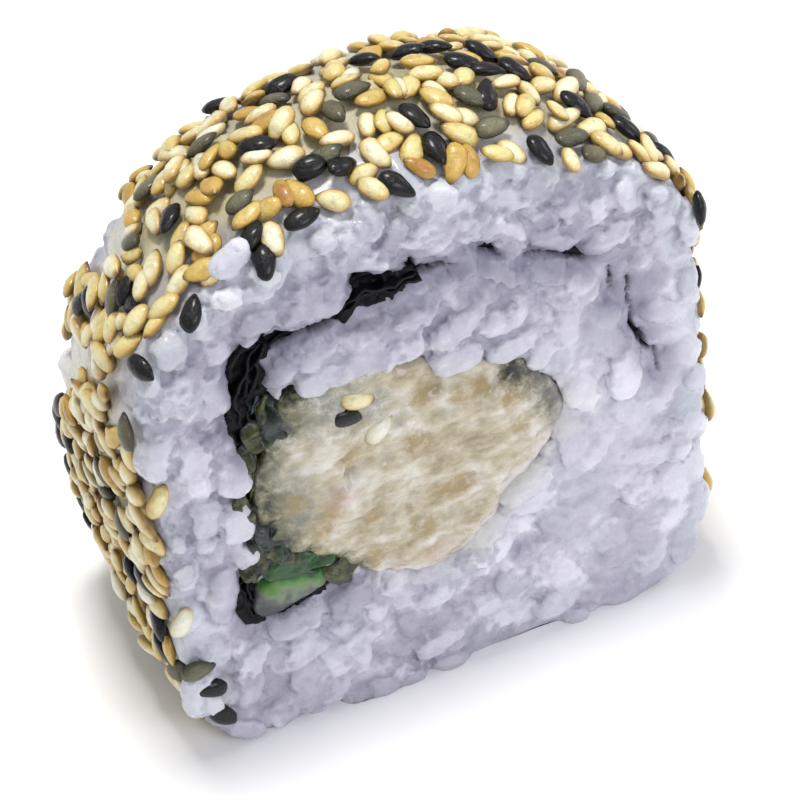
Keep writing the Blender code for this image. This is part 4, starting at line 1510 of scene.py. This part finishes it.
def join_sheets(name, sheets):
    made = mesh_object(name, *together(sheets))
    shape = bmesh.new()
    shape.from_mesh(made.data)
    bmesh.ops.recalc_face_normals(shape, faces=shape.faces)
    shape.to_mesh(made.data)
    shape.free()
    return made


# %% Nori mesh
def ragged(path, plane, sign, depth_in, seed):
    """The torn edge of a sheet near a cut."""
    at = np.stack([path[:, 0], np.zeros(len(path)), path[:, 1]], 1)
    tear = 0.35 * noise(at, 2.2, seed) + 0.25 * noise(at, 0.7, seed + 1)
    return plane + sign * (depth_in + tear)


def nori_crumple(strength, seed):
    return lambda p: strength * (0.13 * noise(p, 1.4, seed) + 0.07 * noise(p, 0.6, seed + 1))


def nori_sheet(first, last, offset, recess, strength, seed, count):
    path, normal, _ = nori_path(math.radians(first), math.radians(last), count)
    path = path + normal * offset
    low = ragged(path, np.full(len(path), FRONT), 1, recess, seed)
    high = ragged(path, back_of(path[:, 0], path[:, 1]), -1, 0.6, seed + 5)
    return sheet(path, normal, NORI_HALF, low, high, nori_crumple(strength, seed))


def opening_sheets():
    """Crumpled nori that shows in each gap of the front cut."""
    made = []
    for number, (line, line_normal, half) in enumerate(open_lines):
        first = line[0] * 1.5 - line[1] * 0.5
        last = line[-1] * 1.5 - line[-2] * 0.5
        line = np.concatenate([[first], line[1:-1], [last]])
        wide = half.max() > 0.6
        recess, folds = (1.25, 0.4) if wide else (2.1, 0.2)
        made.append(folded(line, half + 0.5, recess, folds, 50 + 9 * number))
        if wide:
            for layer, (offset, recess) in enumerate(((-0.5 * half, 0.45), (0.45 * half, 0.6))):
                path = line + line_normal * offset[:, None]
                seed = 150 + 9 * number + layer
                low = ragged(path, np.full(len(path), FRONT), 1, recess, seed)
                low = np.maximum(low, FRONT + 0.25)
                made.append(sheet(path, line_normal, 0.12, low, low + 7.5, nori_crumple(4.0, seed)))
    return made


nori = join_sheets("nori_dressed", [nori_sheet(2, 391, 0.0, 1.5, 1.0, 30, 420)] + opening_sheets())


def nori_material():
    made, tree, place = new_material("roasted_seaweed_sheet")
    pattern = add_node(tree, "TexNoise", {"Vector": place, "Scale": 1 / (1.8 * MM), "Detail": 4.0})
    stops = ((0.25, "#050608"), (0.5, "#0b0b10"), (0.68, "#0e1413"), (0.85, "#1b1a22"))
    finish_material(
        tree, {"Base Color": add_node(tree, "ValToRGB", {"Fac": pattern}, stops),
        "Roughness": cloudy(tree, place, 0.9, 3.0, 0.5, (0.3, 0.7), (0.38, 0.6)), "IOR": 1.25,
        "Coat Weight": 0.08, "Coat Roughness": 0.15,
        "Normal": relief(tree, place, (0.35, 5.0, 0.65, 0.7, 0.12))},
    )
    return made


nori.data.materials.append(nori_material())
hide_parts("nori")
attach(nori, "root")
print("nori", triangle_count(nori.data), "triangles")

# %% [markdown]
# ## Salad filling
#
# The filling is crab and egg pulled into threads and bound with a creamy dressing. Seen close it
# is a heap of soft, wet, flattened strands that mostly run across the cut and rise to the right,
# glued together by the dressing. A smooth lump with a bump pattern would look like putty, so the
# strands are real: a few hundred bent and tapering ones on a low mound, melted together by the
# same remesh as the rice, at a finer step.

# %% Mound and strands
FILL_SINK, FILL_RISE, FILL_LUMPS = 0.12, 0.45, 0.6


def lumps(x, z):
    at = np.stack([x * 0.8 - z * 0.35, x * 0, x * 0.35 + z * 1.1], -1).reshape(-1, 3)
    heap = noise(at, 3.6, 13) + 0.5 * noise(at, 1.8, 14)
    return heap.reshape(np.shape(x))


def filling_y(x, z, front):
    """The mound's surface at either cut."""
    share = np.clip(filling_share(x, z), 0, 1)
    rise = FILL_RISE * (1 - share**4) + FILL_LUMPS * lumps(x, z) * (1 - share**6)
    if front:
        return FRONT + FILL_SINK - rise
    return back_of(x, z) - FILL_SINK + rise


def mound(around=110, shells=(0.985, 0.95, 0.88, 0.78, 0.66, 0.53, 0.4, 0.27, 0.13)):
    angle = np.linspace(0, 2 * math.pi, around + 1)[:-1]
    edge = filling_radius(angle)
    rings = []
    for front, order in ((True, shells[::-1]), (False, shells)):
        for share in order:
            x = FILL_CENTRE[0] + edge * share * np.cos(angle)
            z = FILL_CENTRE[1] + edge * share * np.sin(angle)
            y = filling_y(x, z, front)
            if not front and share == order[0]:
                for k in (0.25, 0.5, 0.75):
                    middle_y = y * k + filling_y(x, z, True) * (1 - k)
                    rings.append(np.stack([x, middle_y, z], 1))
            rings.append(np.stack([x, y, z], 1))
    return loft(rings)


def strand(rng, x, z, turn, length, size, front, lift):
    """A bent, flattened and tapering strand that lies on the mound."""
    steps, sides = 9, 8
    s = np.linspace(-1, 1, steps)
    bend, wiggle = rng.uniform(-0.22, 0.22), rng.uniform(0, 6)
    a = x + length / 2 * s * math.cos(turn) - bend * length * s**2 * math.sin(turn)
    b = z + length / 2 * s * math.sin(turn) + bend * length * s**2 * math.cos(turn)
    b = b + 0.18 * np.sin(s * 4 + wiggle)
    share = filling_share(a, b)
    pull = np.minimum(1, 0.93 / np.maximum(share, 1e-6))
    a = FILL_CENTRE[0] + (a - FILL_CENTRE[0]) * pull
    b = FILL_CENTRE[1] + (b - FILL_CENTRE[1]) * pull
    out = -1 if front else 1
    y = filling_y(a, b, front) + out * (lift + 0.12 * np.sin(s * 3 + wiggle))
    centre = np.stack([a, y, b], 1)
    thin = np.sqrt(np.clip(1.02 - s**2, 0.05, None)) * (1 + 0.2 * np.sin(s * 5 + wiggle))
    slope = np.gradient(centre, axis=0)
    slope /= np.linalg.norm(slope, axis=1, keepdims=True)
    side = np.cross(slope, (0.0, 1.0, 0.0))
    side /= np.linalg.norm(side, axis=1, keepdims=True)
    up = np.cross(side, slope)
    rings = []
    for k in range(steps):
        turns = 2 * math.pi * np.arange(sides) / sides
        wide, flat = size[0] / 2 * thin[k], size[1] / 2 * thin[k]
        rings.append(
            centre[k] + np.outer(np.cos(turns) * wide, side[k]) + np.outer(np.sin(turns) * flat, up[k])
        )
    return loft(rings)


fill_rng = np.random.default_rng(77)
salad = [mound()]
for front, count in ((True, 150), (False, 130)):
    for _ in range(count):
        share, angle = math.sqrt(fill_rng.random()) * 0.9, fill_rng.uniform(0, 2 * math.pi)
        reach = float(filling_radius(np.array(angle))) * share
        x, z = FILL_CENTRE[0] + reach * math.cos(angle), FILL_CENTRE[1] + reach * math.sin(angle)
        turn = math.radians(fill_rng.normal(28, 38))
        if fill_rng.random() < 0.2:
            turn += math.pi / 2
        salad.append(
            strand(fill_rng, x, z, turn, fill_rng.uniform(1.8, 6.0),
            (fill_rng.uniform(0.7, 2.2), fill_rng.uniform(0.4, 0.7)), front,
            fill_rng.uniform(-0.3, 0.1))
        )
filling = remeshed("filling_dressed", salad, 0.21 * MM, 150000)
points = points_of(filling.data)
normals = normals_of(filling.data)
# The dressing runs into the hollows and softens them, and dries in small crumbs on top.
points = neighbours_mean(filling.data, points, 3)
points += normals * (0.2 * noise(points, 1.3, 11) + 0.1 * noise(points, 0.6, 12))[:, None]
set_points(filling.data, points)
# `hollow` marks where the finish paints shade into the hollows of the salad.
hollow = ((neighbours_mean(filling.data, points, 8) - points) * normals_of(filling.data)).sum(1)
store(filling.data, "hollow", smoothstep(0.02, 0.2, hollow))


def near(points, px, py, radius_mm):
    """1 at the place of a pixel on the cut, falling to 0 at about the radius."""
    x, z = on_cut(px, py)
    away = np.hypot(points[:, 0] - x, points[:, 2] - z)
    return np.exp(-((away / radius_mm) ** 2) * 1.2)


# Pixels of the photograph round which the salad is ochre, pink, or stained green by the leaf.
OCHRE_AT = (
    (420, 395, 1.5), (463, 390, 1.8), (482, 384, 1.3), (505, 390, 1.6), (417, 440, 1.8),
    (442, 487, 1.7), (462, 478, 1.5), (317, 529, 1.8), (291, 502, 1.5), (345, 457, 1.4),
    (372, 515, 1.3), (425, 522, 1.6), (372, 558, 1.6), (515, 420, 1.6), (330, 508, 1.2),
)
PINK_AT = ((440, 548, 1.7), (336, 494, 1.8), (395, 562, 1.4))
STAIN_AT = (
    (540, 372, 2.0), (553, 392, 2.0), (561, 412, 1.5), (528, 366, 1.6), (512, 370, 1.4),
    (252, 490, 1.8), (258, 510, 2.4), (262, 532, 2.6), (276, 548, 2.2), (300, 560, 1.8),
    (276, 424, 2.2), (262, 455, 1.6), (335, 566, 1.8), (355, 572, 1.4), (288, 396, 1.8),
)
# Pixels round which the salad is painted a soft grey green shade, at its upper left and left.
SMOKY_SHADE_AT = (
    (318, 398, 2.5), (345, 405, 2.6), (300, 414, 2.6), (283, 500, 3.2), (288, 524, 3.0),
    (270, 478, 2.4), (375, 402, 1.8),
)
for name, spots in (
    ("ochre", OCHRE_AT),
    ("pink", PINK_AT),
    ("stain", STAIN_AT),
    ("smoky_shade", SMOKY_SHADE_AT),
):
    store(filling.data, name, np.max([near(points, *spot) for spot in spots], 0))
share = filling_share(points[:, 0], points[:, 2])
low_right = low_right_of_salad(points, 40, 0.8)
store(filling.data, "thin", smoothstep(0.8, 1.02, share + 0.08 * noise(points, 1.4, 6)) * low_right)

# %% [markdown]
# ### The salad as a material
#
# The dressing is an emulsion, so it scatters light like cream: soft, without hard shadows inside.
# The pulled threads show through it as ochre streaks, with a few pink ones, and it is wet enough
# to sparkle. Where it touches the leaf it is stained a grey green. Its hollows, and soft grey green
# patches at its upper left and left, are painted darker as painted shade.

# %% Salad finish
def salad_material():
    made, tree, place = new_material("creamy_pulled_salad")
    names = ("ochre", "pink", "stain", "smoky_shade", "hollow", "thin")
    spots = {name: add_node(tree, "Attribute", output="Fac", attribute_name=name) for name in names}
    # The threads run across the cut and rise to the right, so the pattern is stretched that way.
    stretch = {"Vector": place, "Rotation": (0.0, -0.42, 0.0), "Scale": (0.5, 1.0, 1.2)}
    stretched = add_node(tree, "Mapping", stretch)
    threads = {"Vector": stretched, "Scale": 1 / (1.3 * MM), "Detail": 5.0, "Roughness": 0.62}
    streak = add_node(tree, "TexNoise", threads)
    clots = {"Vector": place, "Scale": 1 / (3.2 * MM), "Detail": 3.0, "Roughness": 0.55}
    patch = add_node(tree, "TexNoise", clots)
    mixed = add_node(tree, "Math", {0: streak, 1: patch}, operation="ADD")
    halved = add_node(tree, "Math", {0: mixed, 1: 0.5}, operation="MULTIPLY")
    stops = ((0.36, "#998d71"), (0.44, "#b4a98d"), (0.51, "#c4bca8"), (0.6, "#d7d3ca"))
    colour = add_node(tree, "ValToRGB", {"Fac": halved}, stops)
    # Each patch lies over the one before, with a ragged edge: share, colour, most, start and end.
    # The smoky patches are painted shade; the others are the salad's own colours.
    torn = cloudy(tree, place, 0.9, 6.0, 0.7, (0.32, 0.68), (0.35, 1.65))
    for name, over, most, start, end in (
        ("smoky_shade", "#7d8176", 0.8, 0.15, 0.95),
        ("ochre", "#9a8450", 0.8, 0.35, 0.95),
        ("pink", "#b4948c", 0.5, 0.35, 0.95),
        ("stain", "#6c6a4a", 0.95, 0.1, 0.55),
        ("stain", "#24291f", 1.0, 0.55, 1.05),
    ):
        broken = add_node(tree, "Math", {0: spots[name], 1: torn}, operation="MULTIPLY")
        span = {"From Min": start, "From Max": end, "To Max": most}
        share = add_node(tree, "MapRange", {"Value": broken, **span})
        colour = add_node(tree, "MixRGB", {"Fac": share, "Color1": colour, "Color2": over})
    # Painted shade: the hollows are darkened to a grey olive.
    sunk = add_node(tree, "Math", {0: spots["hollow"], 1: 0.75}, operation="MULTIPLY")
    for share, over in ((spots["thin"], "#cdc8cb"), (sunk, "#8d8464")):
        colour = add_node(tree, "MixRGB", {"Fac": share, "Color1": colour, "Color2": over})
    lumpy = add_node(tree, "Bump", {"Height": streak, "Strength": 0.5, "Distance": 0.3 * MM})
    finish_material(
        tree, {"Base Color": colour,
        "Roughness": cloudy(tree, place, 0.6, 2.0, 0.5, (0.35, 0.65), (0.14, 0.5)), "IOR": 1.4,
        "Subsurface Weight": 0.3, "Subsurface Radius": (1.0, 0.8, 0.5), "Subsurface Scale": 0.9 * MM,
        "Coat Weight": 0.6, "Coat Roughness": 0.06,
        "Normal": relief(tree, place, (0.28, 3.0, 0.7, 0.6, 0.1), normal=lumpy)},
    )
    return made


filling.data.materials.append(salad_material())
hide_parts("filling")
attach(filling, "root")

# Seeds pressed into the salad: kind, pixel and direction in degrees.
for number, (kind, px, py, degrees) in enumerate(
    (("black", 344, 414, -8), ("golden", 356, 397, -8), ("white", 379, 428, 50))
):
    x, z = on_cut(px, py)
    axes = frame_of(np.array((0.05, -1.0, 0.3)), way_in_photo(degrees))
    y = float(filling_y(np.array(x), np.array(z), True)) - 0.05
    solid = seed_solid(np.array((x, y, z)), axes, 1.0)
    made = seed_piece(f"salad_seed_{kind}", kind, [solid], [0.3])
    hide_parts("filling")

# %% [markdown]
# ## Lettuce leaf
#
# A leaf's edge is thin, ruffled and cut ragged by the knife. Down in the gap beside the salad it
# reads as dark teal and olive, with a few paler edges where light comes through the blade. It is
# made like the nori, with a larger ruffle and a second fold inside it, and with small lobes where
# it turns its face to the cut.

# %% Leaf mesh
def leaf_sheet(offset, first, last, recess, ruffle, seed, count=150):
    path, normal, _ = leaf_line(300)
    keep = slice(int(first * 299), int(last * 299))
    path, normal, _ = even_path(path[keep] + normal[keep] * offset, count)
    low = ragged(path, np.full(len(path), FRONT), 1, recess, seed)
    high = ragged(path, back_of(path[:, 0], path[:, 1]), -1, recess + 0.3, seed + 3)
    return sheet(
        path, normal, 0.2, low, high,
        lambda p: ruffle * (0.42 * noise(p, 1.9, seed) + 0.16 * noise(p, 0.8, seed + 1)),
    )


def seen_sheet(offset, recess, ruffle, seed):
    """The leaf's edge along the line on which the photograph shows it."""
    path, normal = pixel_line(LEAF_SEEN, 0.2)
    path = path + normal * offset
    low = ragged(path, np.full(len(path), FRONT), 1, recess, seed)
    crumple = lambda p: ruffle * (0.3 * noise(p, 1.6, seed) + 0.14 * noise(p, 0.7, seed + 1))
    return sheet(path, normal, 0.16, low, low + 7.2, crumple)


# Folds that turn their face to the cut: pixel, direction in degrees, size in mm, how far they are
# sunk, and shade, from 0 for dark teal over olive to 1 for emerald.
LOBES = (
    ((262, 520), 80, (6.4, 2.6), 0.5, 0.08),
    ((272, 548), 140, (4.6, 2.6), 0.45, 0.05),
    ((275, 424), 75, (4.4, 3.0), 0.65, 0.02),
    ((256, 440), 100, (3.4, 1.7), 0.4, 0.36),
    ((250, 462), 80, (2.6, 1.5), 0.45, 0.3),
    ((243, 510), 85, (3.6, 1.9), 0.4, 0.36),
    ((256, 568), 20, (3.0, 2.6), 0.45, 0.3),
    ((300, 564), -4, (6.6, 2.4), 0.45, 1.0),
    ((284, 556), 150, (3.6, 1.8), 0.3, 0.78),
    ((344, 571), 12, (3.4, 2.2), 0.4, 0.4),
)
LOBE_BALL, LOBE_FACES = ball(44, 34)


def lobe(number, pixel, degrees, size, sunk):
    x, z = on_cut(*pixel)
    turn = math.radians(degrees)
    axes = frame_of(np.array((0.1, -1.0, 0.25)), np.array((math.cos(turn), 0, math.sin(turn))))
    local = LOBE_BALL * (size[0] / 2, size[1] / 2, 0.4)
    points = local @ axes + (x, FRONT + sunk, z)
    torn = np.stack([noise(points, 1.1, 60 + number), 0 * local[:, 0], noise(points, 1.1, 90 + number)], 1)
    crease = 1 - 2 * np.abs(noise(points, 1.3, 70 + number)) + 0.4 * noise(points, 0.5, 80 + number)
    return points + 0.45 * torn + axes[2] * crease[:, None] * 0.42, LOBE_FACES


leaf_parts = [leaf_sheet(0.0, 0.0, 1.0, 1.0, 0.8, 40), leaf_sheet(-0.62, 0.25, 0.97, 0.9, 1.0, 43)]
leaf_parts += [seen_sheet(-0.2, 0.4, 1.6, 90), seen_sheet(0.5, 0.7, 1.6, 94)]
leaf_shades = [0.3, 0.25, 0.4, 0.15]
leaf_parts = [(points, np.concatenate([f[:, :3], f[:, (0, 2, 3)]])) for points, f in leaf_parts]
for number, (pixel, degrees, size, sunk, shade) in enumerate(LOBES):
    leaf_parts.append(lobe(number, pixel, degrees, size, sunk))
    leaf_shades.append(shade)
leaf = join_sheets("lettuce_dressed", leaf_parts)
store(leaf.data, "shade", np.repeat(leaf_shades, [len(points) for points, _ in leaf_parts]))


def leaf_material():
    made, tree, place = new_material("lettuce_blade")
    shade = add_node(tree, "Attribute", output="Fac", attribute_name="shade")
    patches = cloudy(tree, place, 1.2, 5.0, 0.6, (0.3, 0.7), (-0.22, 0.22))
    tone = add_node(tree, "Math", {0: shade, 1: patches}, operation="ADD")
    # Dark teal, then olive with its paler edges, then the emerald of the folds over the cucumber.
    stops = (
        (0.0, "#0b1416"), (0.14, "#23332f"), (0.3, "#23281a"), (0.45, "#4a4c26"), (0.6, "#626838"),
        (0.8, "#082310"), (1.0, "#174a18"),
    )
    finish_material(
        tree, {"Base Color": add_node(tree, "ValToRGB", {"Fac": tone}, stops),
        "Roughness": cloudy(tree, place, 0.5, 3.0, 0.6, (0.3, 0.7), (0.22, 0.5)), "IOR": 1.42,
        "Subsurface Weight": 0.2, "Subsurface Radius": (0.5, 1.0, 0.3), "Subsurface Scale": 0.5 * MM,
        "Coat Weight": 0.3, "Coat Roughness": 0.15,
        "Normal": relief(tree, place, (0.5, 3.0, 0.6, 0.8, 0.2))},
    )
    return made


leaf.data.materials.append(leaf_material())
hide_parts("lettuce_leaf")
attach(leaf, "root")
print("leaf", triangle_count(leaf.data), "triangles")

# %% [markdown]
# ## Cucumber strip
#
# A stick of cucumber: a glossy, dark green peel on one side, then bright green flesh that turns
# pale and watery. The knife leaves its end slightly domed and wet. It is a loft through rounded
# rings, and a number for each point says how far below the peel it lies, which drives the colour:
# the lowest part is painted dark grey to nearly black as painted shade.

# %% Cucumber mesh
def cucumber_rings():
    rings = []
    low_y = FRONT - 0.05
    for share, dome in ((0.15, 0.32), (0.45, 0.3), (0.75, 0.24), (0.92, 0.12), (1.0, -0.12)):
        x, z = cucumber_outline()
        x = CUCUMBER_AT[0] + (x - CUCUMBER_AT[0]) * share
        z = CUCUMBER_AT[1] + (z - CUCUMBER_AT[1]) * share
        rings.append((x, low_y - dome + 0.32, back_of(x, z) - 0.1 + dome - 0.32, z))
    front = [np.stack([x, np.full(len(x), a), z], 1) for x, a, _, z in rings]
    back = [np.stack([x, b, z], 1) for x, _, b, z in rings[::-1]]
    outer_x, _, outer_b, outer_z = rings[-1]
    between = [
        np.stack([outer_x, low_y + 0.3 + (outer_b - low_y) * k, outer_z], 1) for k in (0.1, 0.3, 0.6, 0.9)
    ]
    return front + between + back


cucumber = mesh_object("cucumber_dressed", *loft(cucumber_rings()))
subdivide = cucumber.modifiers.new("finer", "SUBSURF")
subdivide.levels = 2
subdivide.render_levels = 2
apply_modifiers(cucumber)
points = points_of(cucumber.data)
normals = normals_of(cucumber.data)
points += normals * (0.28 * noise(points, 2.2, 61) + 0.12 * noise(points, 0.8, 62))[:, None]
set_points(cucumber.data, points)
lean = math.radians(-13)
rise = (points[:, 2] - CUCUMBER_AT[1]) * math.cos(lean) - (points[:, 0] - CUCUMBER_AT[0]) * math.sin(lean)
deepest, highest = rise.min(), rise.max()
# 0 at the top of the strip and 1 at its bottom: how deep a point lies in the flesh, and at the bottom
# painted shade.
store(cucumber.data, "flesh_and_shade", (highest - rise) / (highest - deepest))


def cucumber_material():
    made, tree, place = new_material("cucumber_cut")
    flesh_and_shade = add_node(tree, "Attribute", output="Fac", attribute_name="flesh_and_shade")
    patches = cloudy(tree, place, 1.4, 3.0, 0.5, (0.3, 0.7), (-0.16, 0.16))
    depth_in = add_node(tree, "Math", {0: flesh_and_shade, 1: patches}, operation="ADD")
    # Dark peel, bright flesh under it, then watery grey flesh, and at the bottom painted shade that
    # goes nearly black.
    stops = (
        (0.04, "#12280f"), (0.16, "#2f6a24"), (0.3, "#5b8540"), (0.42, "#6d7d62"), (0.56, "#555b54"),
        (0.75, "#3c3f3f"), (0.95, "#1d1f22"),
    )
    finish_material(
        tree, {"Base Color": add_node(tree, "ValToRGB", {"Fac": depth_in}, stops), "Roughness": 0.3,
        "IOR": 1.36, "Subsurface Weight": 0.25, "Subsurface Radius": (0.6, 1.0, 0.4),
        "Subsurface Scale": 0.8 * MM, "Coat Weight": 0.5, "Coat Roughness": 0.08,
        "Normal": relief(tree, place, (0.6, 4.0, 0.5, 0.4, 0.12))},
    )
    return made


cucumber.data.materials.append(cucumber_material())
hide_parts("cucumber_strip")
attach(cucumber, "root")
print("cucumber", triangle_count(cucumber.data), "triangles")

# %% [markdown]
# ## Floor and light
#
# A plain, pale floor just under the roll, and soft light from panels: a key from high above, which
# makes the small sharp lights on the seeds, a broad one from the front that keeps the cut bright,
# a weak one from the right, and an even pale surround. The picture is shown as plain sRGB, so a
# colour given as hex comes out as given.

# %% Floor
FLOOR_HALF, FLOOR_CELLS = 1.5, 12


def floor_material():
    made, tree, place = new_material("matt_white_board")
    blotch = add_node(tree, "TexNoise", {"Vector": place, "Scale": 1 / (60.0 * MM)})
    tone = add_node(tree, "ValToRGB", {"Fac": blotch}, ((0.3, "#f4f4f6"), (0.7, "#fafafb")))
    fine_grain = relief(tree, place, (0.8, 3.0, 0.5, 0.05, 0.05))
    finish_material(tree, {"Base Color": tone, "Roughness": 0.85, "Normal": fine_grain})
    return made


steps = np.linspace(-FLOOR_HALF, FLOOR_HALF, FLOOR_CELLS + 1) / MM
floor_x, floor_y = np.meshgrid(steps, steps)
floor_points = np.stack([floor_x, floor_y, np.full_like(floor_x, BASE_TRIM)], -1).reshape(-1, 3)
cells = np.arange(FLOOR_CELLS)
first = (cells[:, None] * (FLOOR_CELLS + 1) + cells).ravel()
next_row = first + FLOOR_CELLS + 1
floor = mesh_object("floor", floor_points, np.stack([first, first + 1, next_row + 1, next_row], 1))
floor.data.materials.append(floor_material())
floor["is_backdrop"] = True

# %% Light
def panel(name, place, size, power_w, colour):
    """A soft light panel that faces the roll."""
    data = bpy.data.lights.new(name, "AREA")
    data.shape = "RECTANGLE"
    data.size, data.size_y = size
    data.energy = power_w
    data.color = linear(colour)[:3]
    made = bpy.data.objects.new(name, data)
    made.location = place
    towards = Vector((0, 0, 0.025)) - Vector(place)
    made.rotation_euler = towards.to_track_quat("-Z", "Y").to_euler()
    bpy.context.scene.collection.objects.link(made)


panel("key_panel", (0.0, 0.05, 0.62), (0.14, 0.14), 2.8, "#fffdf8")
panel("front_panel", (0.2, -0.6, 0.45), (0.4, 0.25), 1.9, "#f8f8ff")
panel("right_panel", (0.55, 0.05, 0.3), (0.2, 0.2), 0.6, "#fbfbff")

surround = bpy.data.worlds.new("pale_room")
surround.use_nodes = True
surround.node_tree.nodes["Background"].inputs["Color"].default_value = linear("#f6f7fb")
surround.node_tree.nodes["Background"].inputs["Strength"].default_value = 0.55
bpy.context.scene.world = surround
bpy.context.scene.view_settings.view_transform = "Standard"

# %% Sizes and the end
dressed_low, dressed_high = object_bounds()
for axis in range(3):
    cad, own = cad_high[axis] - cad_low[axis], dressed_high[axis] - dressed_low[axis]
    below, above = cad_low[axis] - dressed_low[axis], dressed_high[axis] - cad_high[axis]
    print(
        "XYZ"[axis], f"{cad / MM:.1f} mm, dressed {own / MM:.1f} mm,",
        f"out by {below / cad:+.1%} and {above / cad:+.1%}",
    )
